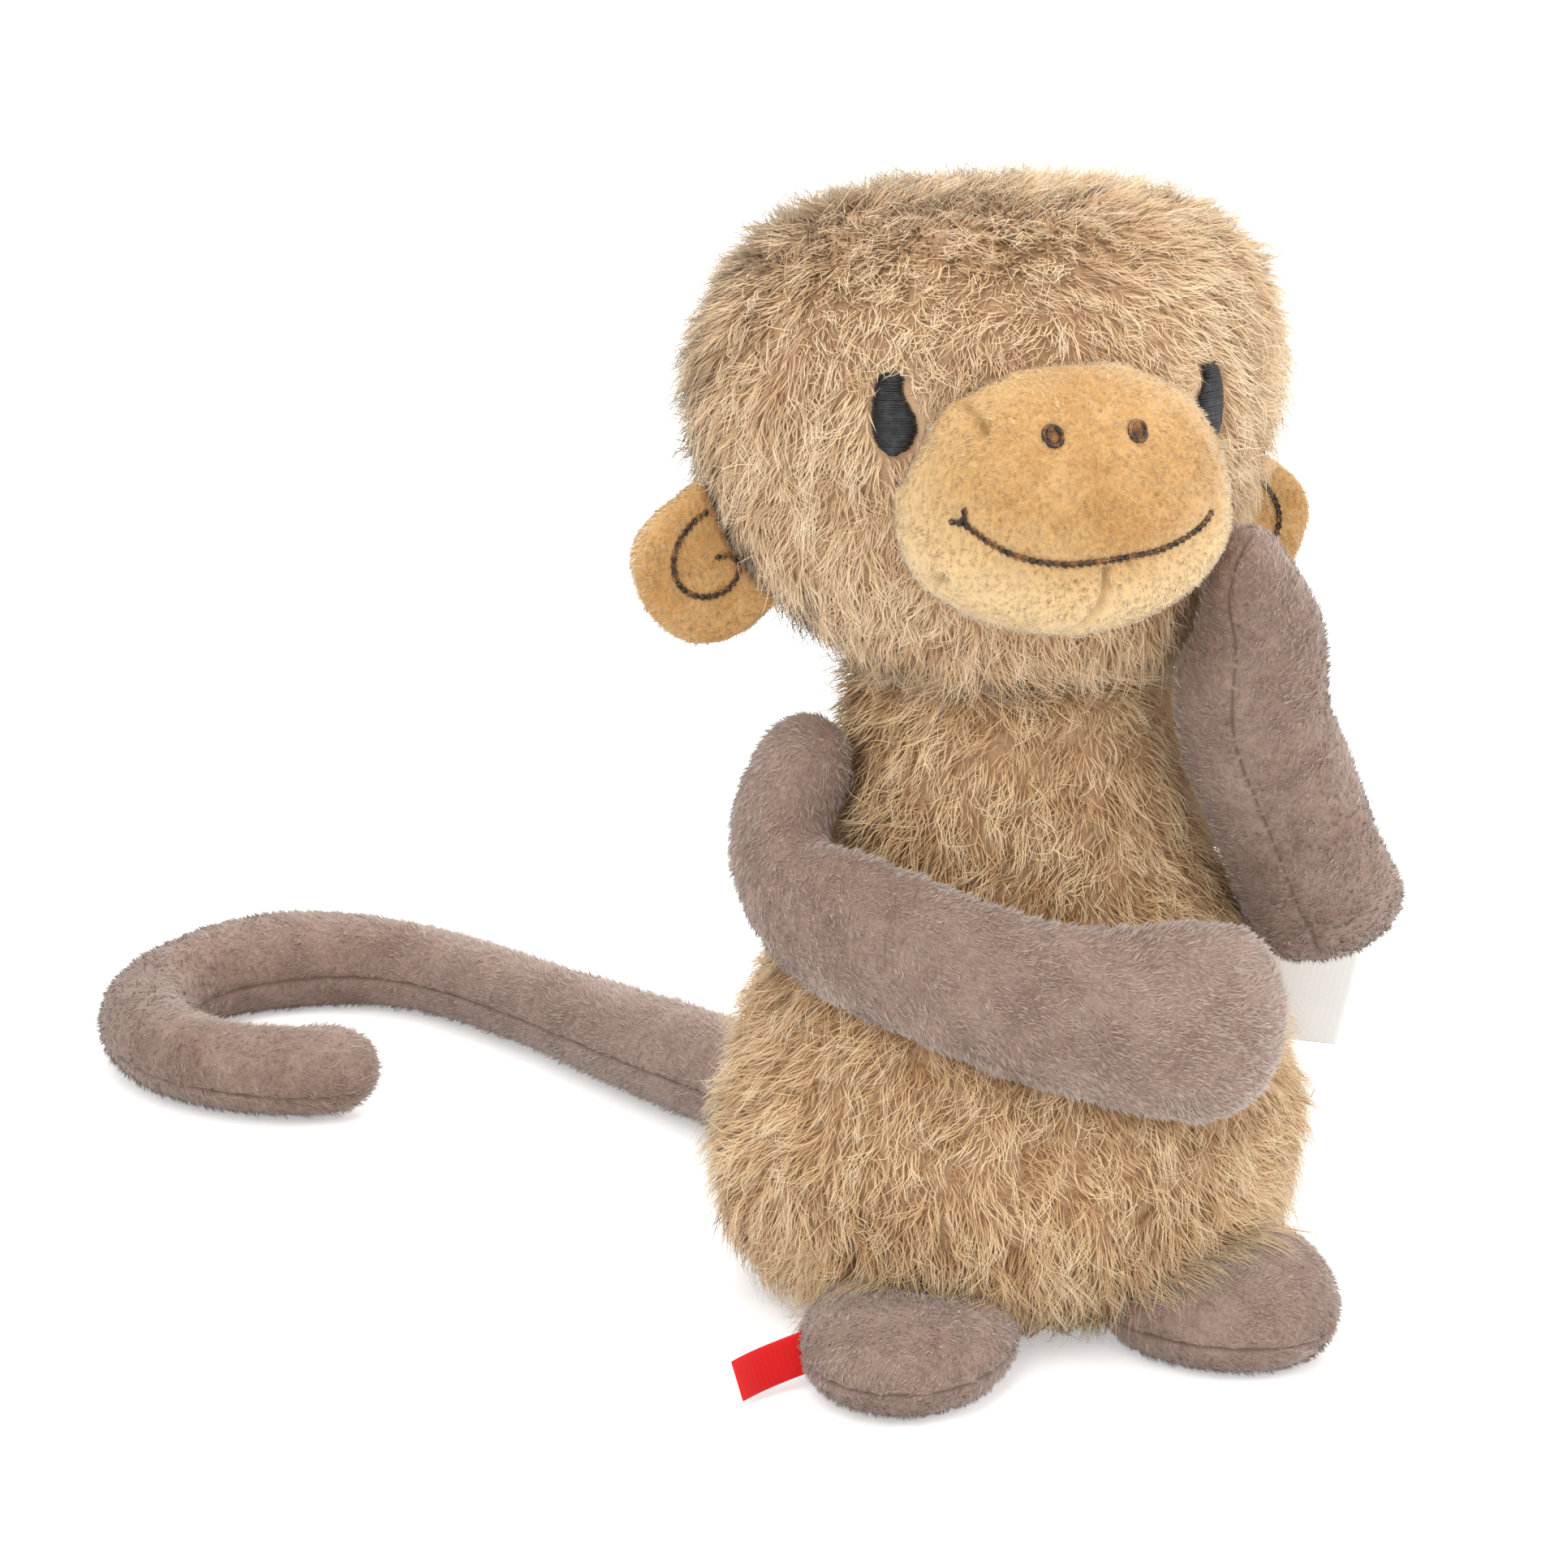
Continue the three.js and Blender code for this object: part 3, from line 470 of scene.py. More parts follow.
def one_seam(route, shares, angles):
    """A rule that gives the distance from one line of stitches along a limb.

    It runs along the upper or left edge, turned about the limb by these angles at these shares
    of its length.
    """

    def distance(points):
        across, out, share = route.offsets(points)
        turn = np.radians(np.interp(share, shares, angles))
        ahead = -across * np.cos(turn) - out * np.sin(turn)
        away = across * np.sin(turn) - out * np.cos(turn)
        return np.where(ahead > 0, away, FAR_FROM_SEAM)

    return distance


def tail_seam(points):
    """The tail is twisted a little, so its seam sinks towards the tip."""
    across, _, share = TAIL.offsets(points)
    return across + (0.5 + 4.5 * share**2) * MM


# The right arm's seam is hidden against the body down to the elbow, and then runs along the upper
# edge. The left arm's runs down the front of the forearm, near the edge that faces the belly.
RIGHT_SEAM = one_seam(ARM_RIGHT, [0, 0.22, 0.4, 1], [90, 80, 8, 0])
LEFT_SEAM = one_seam(ARM_LEFT, [0, 0.36, 0.5, 0.62, 1], [0, -30, -60, -58, -44])

# Each limb: its route and its seam, and the seed, the tone offset and the density of its pile. The
# tone offset is painted light and shade: the right arm lighter, the left arm and the tail darker.
LIMBS = {
    "arm_right": (ARM_RIGHT, RIGHT_SEAM, 31, 0.03, 1.3),
    "arm_left": (ARM_LEFT, LEFT_SEAM, 41, -0.18, 1.3),
    "tail": (TAIL, tail_seam, 51, -0.32, 1.0),
}


def foot_seam(points):
    return points[:, 2] - 9.5 * MM


def ear_seam(points):
    return points[:, 1] - 2 * MM


# Three darts gather the cloth of the muzzle: at the chin, the brow and one cheek
DARTS = [
    [(-8.5, -82, 203), (-8, -80, 199), (-8, -77, 194), (-10, -72, 189), (-13, -66, 186)],
    [(-36, -60, 240), (-35.5, -66, 238), (-34, -70, 235)],
    [(-44, -58, 196), (-42, -65, 200)],
]


def dart_distance(points):
    return np.minimum.reduce([line_distance(points, np.array(line) * MM) for line in DARTS])


# Hair, for fur and for short pile


def hair_rows(paths, side, facing, roots, tones, thin, soft):
    """Closed, tapered, three-sided hairs along the given paths.

    Each hair's UV map holds its tone across and its height from root to tip upward. Its shading
    is drawn towards that of the skin below it, by `soft`, as light wanders through real fur.
    """
    count, places, _ = paths.shape
    rings = places - 1
    along = unit(np.gradient(paths, axis=1))
    side = laid_on(np.broadcast_to(side[:, None, :], paths.shape), along)
    rise = np.cross(along, side)
    taper = (1 - np.linspace(0, 1, places)[:rings]) ** 0.7
    width = (roots[:, None] * taper)[..., None]
    corners, shades = [], []
    for turn in np.radians([0, 120, 240]):
        offset = (side * math.cos(turn) + rise * (math.sin(turn) * thin))[:, :rings]
        corners.append(paths[:, :rings] + offset * width)
        shades.append(unit(offset) * (1 - soft) + facing[:, None] * soft)
    tip = rings * 3
    points = np.concatenate([np.stack(corners, 2).reshape(count, tip, 3), paths[:, -1:]], 1)
    normals = np.concatenate([np.stack(shades, 2).reshape(count, tip, 3), facing[:, None]], 1)
    faces = [(2, 1, 0)]
    for corner in range(3):
        after = (corner + 1) % 3
        for low in range(0, tip - 3, 3):
            faces.append((low + corner, low + after, low + 3 + after))
            faces.append((low + corner, low + 3 + after, low + 3 + corner))
        faces.append((tip - 3 + corner, tip - 3 + after, tip))
    faces = np.array(faces)
    heights = np.append(np.repeat(np.arange(rings), 3), rings) / rings
    across = np.repeat(tones, faces.size)
    upward = np.tile(heights[faces.ravel()], count)
    every = (faces[None] + (np.arange(count) * (tip + 1))[:, None, None]).reshape(-1)
    return points.reshape(-1, 3), unit(normals).reshape(-1, 3), every, np.stack([across, upward], 1)


def hair_piece(name, *rows):
    """One mesh of all the hairs in the given rows."""
    points, normals, places = (np.concatenate([row[part] for row in rows]) for part in (0, 1, 3))
    starts = np.cumsum([0, *(len(row[0]) for row in rows)])
    every = np.concatenate([row[2] + start for row, start in zip(rows, starts)])
    mesh = bpy.data.meshes.new(name)
    mesh.vertices.add(len(points))
    mesh.vertices.foreach_set("co", points.astype(np.float32).ravel())
    mesh.loops.add(len(every))
    mesh.loops.foreach_set("vertex_index", every.astype(np.int32))
    mesh.polygons.add(len(every) // 3)
    mesh.polygons.foreach_set("loop_start", np.arange(0, len(every), 3, dtype=np.int32))
    mesh.polygons.foreach_set("use_smooth", np.ones(len(every) // 3, bool))
    mesh.update(calc_edges=True)
    layer = mesh.uv_layers.new(name="OFBake")
    kept = MAP_EDGE + (1 - 2 * MAP_EDGE) * places
    layer.data.foreach_set("uv", kept.astype(np.float32).ravel())
    mesh.normals_split_custom_set_from_vertices(normals.tolist())
    return linked(name, mesh)


def scattered(piece, count, seed, thick=None):
    """Random places over a mesh, with the surface's direction at each.

    They lie even by area, or closer together where `thick` is high.
    """
    random = np.random.default_rng(seed)
    mesh = piece.data
    mesh.calc_loop_triangles()
    corners = rows_of(mesh.loop_triangles, "vertices", 3, np.int32)
    points, normals = points_of(piece), normals_of(piece)
    a, b, c = (points[corner] for corner in corners.T)
    area = np.linalg.norm(np.cross(b - a, c - a), axis=1)
    if thick:
        area *= thick((a + b + c) / 3)
    chosen = random.choice(len(corners), count, p=area / area.sum())
    first = np.sqrt(random.random((count, 1)))
    second = random.random((count, 1))
    shares = np.concatenate([1 - first, first * (1 - second), first * second], 1)
    at, facing = (
        np.einsum("nk,nkd->nd", shares, rows[corners[chosen]]) for rows in (points, normals)
    )
    return at, unit(facing)


def bent_paths(at, facing, lie, length, rise, fall, curl, sway):
    """Paths that leave the surface at the angle `rise`, lean over to `fall`, curl and sway."""
    across = np.cross(facing, lie)
    steps = GUARD_PLACES - 1
    path = [at]
    for step in range(steps):
        share = (step + 0.5) / steps
        lift = rise + (fall - rise) * share**0.6
        turn = curl * share**1.5 + sway * np.sin(2 * math.pi * share)
        heading = leaned(leaned(lie, across, turn), facing, lift)
        path.append(path[-1] + heading * (length / steps)[:, None])
    return np.stack(path, 1)


def gap_to(tree, points):
    """How far each point lies outside a form, below zero inside it."""
    gaps = np.empty(len(points))
    for index, point in enumerate(points):
        hit, normal, _, distance = tree.find_nearest(Vector(point))
        gaps[index] = distance if (Vector(point) - hit).dot(normal) > 0 else -distance
    return gaps


def inside(tree, points, border):
    """Whether points lie in a form or within the border round it."""
    gaps = gap_to(tree, points)
    return (gaps < border) & (gaps > -COVER_DEPTH)


def sunk_in(tree, point, lift):
    """How far a point lies below the top of a foot and the lift over it. Beside it, nothing."""
    x, y, z = point
    hit, _, _, _ = tree.ray_cast(Vector((x, y, DRAPE_HEIGHT)), -Vector(UP))
    return hit.z + lift - z if hit else 0


def draped(tree, paths, lift):
    """Hairs that would run into a foot are laid outward over its top."""
    outward = unit(paths[:, 0] * [1, 1, 0])
    low = (paths[:, 0, 2] < DRAPE_HEIGHT) & (paths[:, 0, 1] < 0)
    for index in np.flatnonzero(low):
        for place in range(1, paths.shape[1]):
            sunk = sunk_in(tree, paths[index, place], lift)
            if sunk > 0:
                paths[index, place:] += UP * sunk + outward[index] * min(sunk, DRAPE_STEP)
                paths[index, place:, 2] += sunk_in(tree, paths[index, place], lift)
    return paths


class Coat:
    """The long fur of one form: locks of hair that lie along `flow`, over a short undercoat.

    `bare` says where nothing grows. `trim`, `thick` and `ruffle` give the share of the length,
    the density and the lift at each place, and the last rule the painted shade that deepens the
    tone.
    """

    def __init__(
        self, skin, flow, length, guards, unders, seed, bare, trim, thick, ruffle=None, painted_shade=None
    ):
        self.random = random = np.random.default_rng(seed)
        self.groups = []
        for turn, count in enumerate((guards, unders)):
            at, facing = scattered(skin, count, seed + turn, thick)
            kept = ~bare(at)
            self.groups.append((at[kept], facing[kept]))
        at, facing = self.groups[0]
        locks = random.choice(len(at), len(at) // HAIRS_IN_A_LOCK, replace=False)
        count = len(locks)
        at, facing = at[locks], facing[locks]
        self.lock_of = [nearest_of(group[0], at) for group in self.groups]
        wander = 0.42 * drift(at, 30 * MM, seed + 2) + 0.3 * drift(at, 10 * MM, seed + 3)
        wander += random.normal(0, 0.3, count)
        lie = turned_flat(laid_on(flow(at, facing), facing), facing, wander)
        bushy = 1 + 0.16 * drift(at, 18 * MM, seed + 4)
        size = length * bushy * random.uniform(0.75, 1.15, count) * trim(at)
        raised = ruffle(at) if ruffle else np.zeros(count)
        curl = np.radians(random.normal(0, LOCK_CURL, count))
        sway = np.radians(random.normal(0, LOCK_SWAY, count))
        tone = 0.5 + 0.14 * drift(at, 18 * MM, seed + 5) + random.normal(0, 0.22, count)
        # Painted shade: where the rule says, the tone is made deeper.
        if painted_shade:
            tone += painted_shade(at)
        self.tone = np.clip(tone, 0, 1)
        self.locks = at, facing, lie, size, raised, curl, sway

    def taken(self, kind, chosen):
        """Where the chosen hairs start, and what each takes from its lock."""
        lock = self.lock_of[kind][chosen]
        return [row[chosen] for row in self.groups[kind]] + [row[lock] for row in self.locks]

    def guard_paths(self, chosen):
        """Long hairs, drawn a little towards the middle of their lock at the tips."""
        random = self.random
        at, facing, *lock = self.taken(0, chosen)
        lock_lie, size, raised, lock_curl, lock_sway = lock[2:]
        count = len(chosen)
        stray = random.random(count) < STRAY_SHARE
        loose = np.where(stray, 0.6, 0.16)[:, None]
        lie = laid_on(lock_lie + random.normal(0, 1, (count, 3)) * loose, facing)
        length = size * random.uniform(0.72, 1.12, count)
        rise = np.radians(random.normal(GUARD_RISE, 9, count))
        fall = np.radians(random.normal(GUARD_FALL, 9, count) + np.where(stray, 14, 0)) + raised
        curl = lock_curl + np.radians(random.normal(0, 26, count)) * np.where(stray, 2, 1)
        sway = lock_sway + np.radians(random.normal(0, 12, count))
        own = bent_paths(at, facing, lie, length, rise, fall, curl, sway)
        rise = math.radians(LOCK_RISE)
        fall = math.radians(LOCK_FALL) + raised
        middle = bent_paths(*lock[:3], length, rise, fall, lock_curl, lock_sway)
        hold = np.where(stray, 0, LOCK_HOLD)[:, None] * np.linspace(0, 1, GUARD_PLACES)
        return own + (middle - own) * hold[..., None], lie

    def under_paths(self, chosen):
        """Short and straight hairs that fill the coat between the long ones."""
        random = self.random
        at, facing, _, _, lie, size, raised, _, _ = self.taken(1, chosen)
        count = len(chosen)
        lie = laid_on(lie + random.normal(0, 0.34, (count, 3)), facing)
        length = size * UNDER_SHARE * random.uniform(0.7, 1.2, count)
        lift = np.radians(random.normal(UNDER_RISE, 9, count)) + raised * 0.5
        tip = leaned(lie, facing, lift)
        return np.stack([at - facing * ROOT_SINK, at + tip * length[:, None]], 1), lie

    def rows(self, kind, chosen, settle):
        """The hairs of one kind, 0 for guard hairs and 1 for the undercoat."""
        paths, lie = self.under_paths(chosen) if kind else self.guard_paths(chosen)
        paths, kept = settle(paths)
        lie, chosen = lie[kept], chosen[kept]
        own = self.random.normal(0, 0.15, len(chosen)) + FUR_TONES[kind]
        tones = np.clip(self.tone[self.lock_of[kind][chosen]] + own, 0, 1)
        roots = FUR_ROOTS[kind] * self.random.uniform(0.7, 1.25, len(chosen))
        facing = self.groups[kind][1][chosen]
        side = np.cross(facing, lie)
        return hair_rows(paths, side, facing, roots, tones, FUR_FLATNESS, FUR_SOFTNESS)


def grow(coat, body, family, settle):
    """Grows the coat in four pieces round the form, each one light enough to keep as it is.

    `settle` may move paths, and says which hairs stay.
    """
    slot, _, hair = family
    middle = coat.groups[0][0].mean(0)
    quarters = []
    for at, _ in coat.groups:
        turn = np.arctan2(at[:, 0] - middle[0], middle[1] - at[:, 1])
        quarters.append(np.round(turn / (math.pi / 2)).astype(int) % 4)
    for index, side in enumerate(("front", "left", "back", "right")):
        rows = [coat.rows(kind, np.flatnonzero(quarters[kind] == index), settle) for kind in (0, 1)]
        dress(hair_piece(f"{slot}_{side}", *rows), body, hair)


def pile(form, body, family, lie_of, density, length, seed, sheen_and_shade_of, root, seam=None, gap=0):
    """Short pile: thousands of little hairs in tufts, that lean the way the cloth was brushed.

    Along a seam the hairs are parted and lie away from the stitches, and none grow in its gap.
    """
    random = np.random.default_rng(seed)
    count = int(density * sum(face.area for face in form.data.polygons) / MM**2)
    at, facing = scattered(form, count, seed)
    if gap:
        kept = np.abs(seam(at)) > gap
        at, facing, count = at[kept], facing[kept], int(kept.sum())
    tufts = random.choice(count, count // HAIRS_IN_A_TUFT, replace=False)
    tuft = nearest_of(at, at[tufts])

    def by_tuft(draw, *numbers):
        return draw(*numbers, len(tufts))[tuft]

    lie = laid_on(lie_of(at, facing), facing)
    wander = 0.4 * drift(at, 14 * MM, seed + 1) + by_tuft(random.normal, 0, 0.32)
    lie = turned_flat(lie, facing, wander + random.normal(0, 0.15, count))
    if seam:
        away = seam(at)
        small = 0.1 * MM
        slope = np.stack([(seam(at + small * axis) - away) / small for axis in np.eye(3)], 1)
        part = hill(away, 1.4 * MM) * np.sign(away)
        lie = laid_on(lie + laid_on(slope, facing) * part[:, None], facing)
    lift = np.radians(by_tuft(random.normal, PILE_RISE, 8) + 8 * drift(at, 8 * MM, seed + 2))
    size = length * by_tuft(random.uniform, 0.75, 1.15) * random.uniform(0.8, 1.1, count)
    ends = at + leaned(lie, facing, lift) * size[:, None]
    ends += (at[tufts][tuft] - at) * 0.4
    paths = np.stack([at - facing * ROOT_SINK, ends], 1)
    paths[..., 2] = np.maximum(paths[..., 2], 0.2 * MM)
    tone = 0.5 + 0.1 * drift(at, 12 * MM, seed + 3)
    # Painted sheen and painted shade from each form's rule are added to the tone here.
    tone += by_tuft(random.normal, 0, 0.15) + random.normal(0, 0.1, count) + sheen_and_shade_of(at, facing)
    tilt = unit(facing + random.normal(0, 0.2, (len(tufts), 3))[tuft] + lie * 0.15)
    roots = root * random.uniform(0.8, 1.2, count)
    side = np.cross(facing, lie)
    rows = hair_rows(paths, side, tilt, roots, np.clip(tone, 0, 1), 1, PILE_SOFTNESS)
    slot, _, hair = family
    dress(hair_piece(form.name.replace("_form", "_pile"), rows), body, hair)


# Finishes


def sum_of(operation, backward=False):
    """An operator that adds one Math node, or its reflected form."""

    def added(self, other):
        first, second = (other, self) if backward else (self, other)
        return self.finish.node("Math", {"operation": operation}, {0: first, 1: second})

    return added


class Value:
    """A socket of a finish. Sums on it add the Math nodes that they need."""

    def __init__(self, finish, socket):
        self.finish = finish
        self.socket = socket

    __add__ = sum_of("ADD")
    __radd__ = sum_of("ADD", True)
    __mul__ = sum_of("MULTIPLY")
    __rmul__ = sum_of("MULTIPLY", True)


FINISHES = {}


class Nodes:
    """The nodes of a material or of the studio round the toy, and one way to add any node."""

    def __init__(self, owner, shader, output):
        owner.use_nodes = True
        self.tree = owner.node_tree
        self.shader = self.tree.nodes[shader]
        self.surface = self.tree.nodes[output].inputs["Surface"]

    def main(self):
        return Value(self, self.shader.outputs[0])

    def node(self, kind, settings=None, inputs=None, output=0):
        """Adds a node of a type, with its settings first and then its values or links."""
        node = self.tree.nodes.new("ShaderNode" + kind)
        for name, value in (settings or {}).items():
            if name == "stops":
                self.set_stops(node.color_ramp, value)
            else:
                setattr(node, name, value)
        for name, value in (inputs or {}).items():
            self.feed(node.inputs[name], value)
        return Value(self, node.outputs[output])

    def set_stops(self, ramp, stops):
        while len(ramp.elements) < len(stops):
            ramp.elements.new(1.0)
        for element, (place, color) in zip(ramp.elements, stops):
            element.position = place
            element.color = (*color, 1)

    def feed(self, socket, value):
        if isinstance(value, Value):
            self.tree.links.new(value.socket, socket)
        elif hasattr(socket.default_value, "__len__") and hasattr(value, "__len__"):
            size = len(socket.default_value)
            socket.default_value = tuple([*value, 1, 1][:size])
        else:
            socket.default_value = value

    def give(self, **inputs):
        """Feeds the sockets of the main shader."""
        for name, value in inputs.items():
            self.feed(self.shader.inputs[name.replace("_", " ")], value)


class Finish(Nodes):
    """A material with its shader. It is kept under its name."""

    def __init__(self, name, roughness, sheen=0.0, spread=0.5, specular=0.2, glow=(1, 1, 1)):
        self.material = FINISHES[name] = bpy.data.materials.new(name)
        super().__init__(self.material, "Principled BSDF", "Material Output")
        self.give(Roughness=roughness, Specular_IOR_Level=specular)
        self.give(Sheen_Weight=sheen, Sheen_Roughness=spread, Sheen_Tint=glow)

    def place(self):
        return self.node("TexCoord", output="Object")

    def painted(self, name):
        """What `paint` kept on the mesh under this name."""
        return self.node("Attribute", {"attribute_name": name}, output="Fac")

    def noise(self, place, scale, detail=3.0, roughness=0.6):
        sockets = {"Vector": place, "Scale": scale, "Detail": detail, "Roughness": roughness}
        return self.node("TexNoise", inputs=sockets)

    def mix(self, share, first, second):
        settings = {"data_type": "RGBA"}
        return self.node("Mix", settings, {0: share, 6: first, 7: second}, output=2)

    def ramp(self, share, stops):
        return self.node("ValToRGB", {"stops": stops}, {"Fac": share})

    def cloth(self, tone, height, strength, distance):
        """Gives the shader this tone and this relief."""
        sockets = {"Height": height, "Strength": strength, "Distance": distance}
        self.give(Base_Color=tone, Normal=self.node("Bump", inputs=sockets))


def linear(color):
    """A colour as it is seen, turned into the amounts of light that the shader takes."""
    shares = np.array(color) / 255
    return tuple(np.where(shares <= 0.04045, shares / 12.92, ((shares + 0.055) / 1.055) ** 2.4))


def hair_finish(name, deep, pale, glow=(1, 0.93, 0.82)):
    """Hair from a deep to a pale tone, each given as the colours of its root, middle and tip."""
    finish = Finish(name, 0.6, 0.45, 0.4, 0.25, glow)
    place = finish.node("UVMap", {"uv_map": "OFBake"})
    tone, height = (finish.node("SeparateXYZ", inputs={0: place}, output=axis) for axis in "XY")
    dark, light = (
        finish.ramp(height, list(zip((MAP_EDGE, 0.5, 1 - MAP_EDGE), map(linear, colors))))
        for colors in (deep, pale)
    )
    finish.give(Base_Color=finish.mix(tone, dark, light))


def plush_finish(name, color, pale, shadow, rim):
    """Short pile cloth: fine nap, brushed patches, a paler rim of painted sheen and a line of
    painted shade in the seams.
    """
    finish = Finish(name, 0.85, 0.4, 0.4, 0.1)
    place = finish.place()
    nap = finish.noise(place, 1100)
    patch = finish.noise(place, 70)
    stops = [(0.38, linear(shadow)), (0.5, linear(color)), (0.64, linear(pale))]
    tone = finish.ramp(nap * 0.5 + patch * 0.5, stops)
    # Where a form is painted with a rim, its tone turns paler there, a painted sheen.
    tone = finish.mix(finish.painted("rim"), tone, linear(rim))
    # Painted shade in the seams and darts: the sewn lines turn darker.
    crease = linear([part * CREASE_SHADE for part in shadow])
    sewn = finish.painted("sewn")
    tone = finish.mix(sewn * sewn, tone, crease)
    finish.cloth(tone, nap, 0.4, 0.4 * MM)


def thread_finish(name, color, pale):
    """Glossy embroidery thread, paler where its twist catches the light."""
    finish = Finish(name, 0.42, 0.1, specular=0.5)
    place = finish.place()
    twist = finish.noise(place, 1500, 2.0)
    # Painted glints: patches of the paler colour where the thread would catch the light.
    glints = finish.noise(place, 420, 2.0, 0.5)
    share = finish.ramp(glints, [(0.45, (0, 0, 0)), (0.68, (1, 1, 1))])
    tone = finish.mix(share, linear(color), linear(pale))
    finish.cloth(tone, twist, 0.5, 0.25 * MM)


def ribbon_finish(name, color, dark):
    """Woven ribbon: fine ribs both ways, a little darker between them as painted shade, clouded at
    random.
    """
    finish = Finish(name, 0.55, 0.2, specular=0.35)
    place = finish.node("UVMap", {"uv_map": "weave"})
    ribs, picks = (
        finish.node("TexWave", {"bands_direction": axis}, {"Vector": place, "Scale": scale})
        for axis, scale in (("X", 9.0), ("Y", 14.0))
    )
    height = ribs * 0.5 + picks * 0.5
    cloudy = finish.noise(place, 3.0)
    # Painted shade: the tone turns darker between the ribs, and clouds at random.
    tone = finish.mix(height * 0.5 + cloudy * 0.5, linear(dark), linear(color))
    finish.cloth(tone, height, 0.35, 0.1 * MM)


def backing_finish(name, color, dark, shaven):
    """The knitted backing that shows between the locks of fur, and paler where they are shaved."""
    finish = Finish(name, 0.9, 0.1, specular=0.1)
    place = finish.place()
    knit = finish.noise(place, 600, 2.0, 0.5)
    cloud = finish.noise(place, 60)
    tone = finish.mix(knit * 0.5 + cloud * 0.5, linear(dark), linear(color))
    tone = finish.mix(finish.painted("shaved"), tone, linear(shaven))
    finish.cloth(tone, knit, 0.5, 0.5 * MM)


hair_finish(
    "head_hair",
    deep=[(164, 122, 88), (212, 170, 128), (236, 200, 156)],
    pale=[(204, 164, 124), (253, 221, 177), (255, 246, 220)],
)
hair_finish(
    "body_hair",
    deep=[(140, 96, 60), (198, 152, 104), (232, 192, 142)],
    pale=[(192, 146, 102), (250, 214, 166), (255, 244, 214)],
)
hair_finish(
    "taupe_hair",
    deep=[(112, 91, 81), (151, 127, 115), (176, 153, 141)],
    pale=[(158, 135, 123), (202, 181, 168), (211, 192, 180)],
    glow=(1, 0.96, 0.92),
)
hair_finish(
    "honey_hair",
    deep=[(172, 126, 72), (188, 142, 84), (202, 158, 100)],
    pale=[(236, 204, 158), (250, 226, 184), (255, 240, 210)],
    glow=(1, 0.94, 0.8),
)
backing_finish("fur_backing", (192, 157, 122), (166, 131, 98), (226, 198, 168))
plush_finish("taupe_plush", (142, 119, 107), (160, 137, 125), (124, 101, 90), (190, 168, 156))
plush_finish("honey_plush", (192, 148, 94), (208, 168, 116), (174, 130, 76), (232, 200, 148))
thread_finish("brown_thread", (44, 24, 12), (140, 96, 48))
# A lit copy of the brown thread: the painted highlight in the nostrils' middles.
thread_finish("lit_brown_thread", (74, 42, 18), (158, 102, 40))
thread_finish("black_thread", (12, 11, 13), (50, 49, 53))
ribbon_finish("red_ribbon", (234, 6, 12), (208, 2, 8))
ribbon_finish("white_ribbon", (218, 216, 212), (211, 209, 205))


def dress(piece, body, finish, nodes=()):
    """Gives a piece its finish, the body it moves with and the solids it stands for."""
    piece.data.materials.clear()
    piece.data.materials.append(FINISHES[finish])
    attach(piece, body)
    if nodes:
        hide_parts(*nodes)


# Embroidery

CHAIN_THREAD = 0.38 * MM
CHAIN_WIDTH = 0.5 * MM
THREAD_END = 0.6


def threads(name, lines, radius, body, slot, nodes=(), finish=None):
    """Lengths of thread, each a round cord along its line, joined in one piece."""
    curve = bpy.data.curves.new(name, "CURVE")
    assign(curve, dimensions="3D", bevel_depth=radius, bevel_resolution=1, use_fill_caps=True)
    for line in lines:
        spline = curve.splines.new("POLY")
        spline.points.add(len(line) - 1)
        for point, place in zip(spline.points, line):
            point.co = (*place, 1)
        spline.points[0].radius = spline.points[-1].radius = THREAD_END
    piece = linked(name, curve)
    only(piece)
    bpy.ops.object.convert(target="MESH")
    piece.name = name
    in_edit_mode(piece, bpy.ops.mesh.remove_doubles, threshold=MERGE_DISTANCE)
    in_edit_mode(piece, bpy.ops.mesh.normals_make_consistent, inside=False)
    dress(smooth(piece), body, finish or slot, nodes)


def on_front(tree, x, z, lift):
    """The place on a form, seen from the front, that lies at this width and height."""
    hit, normal, _, _ = tree.ray_cast(Vector((x, -0.2, z)), Vector((0, 1, 0)))
    if hit is None:
        hit, normal, _, _ = tree.find_nearest(Vector((x, 0, z)))
    return np.array(hit + normal * lift)


def landed(line, tree, lift):
    """A line drawn on the face, laid on the form behind it."""
    shares = np.linspace(0, 1, 6, endpoint=False)[:, None]
    fine = [first + (second - first) * shares for first, second in zip(line[:-1], line[1:])]
    return np.array([on_front(tree, x, z, lift) for x, z in np.vstack([*fine, line[-1:]])])


def place_along(line, lengths, length):
    return np.array([np.interp(length, lengths, line[:, axis]) for axis in range(3)])


def chain(drawn, tree, sink, lift, pitch):
    """Chain stitch along a drawn line: at each step two short threads that bow apart and meet."""
    line = landed(drawn, tree, sink)
    lengths = np.append(0, np.cumsum(np.linalg.norm(np.diff(line, axis=0), axis=1)))
    count = max(round(lengths[-1] / pitch), 1)
    stitches = []
    for step in range(count):
        low = place_along(line, lengths, (step + 0.05) * lengths[-1] / count)
        high = place_along(line, lengths, min(step + 1.25, count) * lengths[-1] / count)
        _, normal, _, _ = tree.find_nearest(Vector((low + high) / 2))
        normal = np.array(normal)
        aside = unit(np.cross(high - low, normal)) * CHAIN_WIDTH
        for lean in (-1, 1):
            middle = (low + high) / 2 + aside * lean + normal * lift
            stitches.append([low + aside * lean * 0.5, middle, high - aside * lean * 0.2])
    return stitches


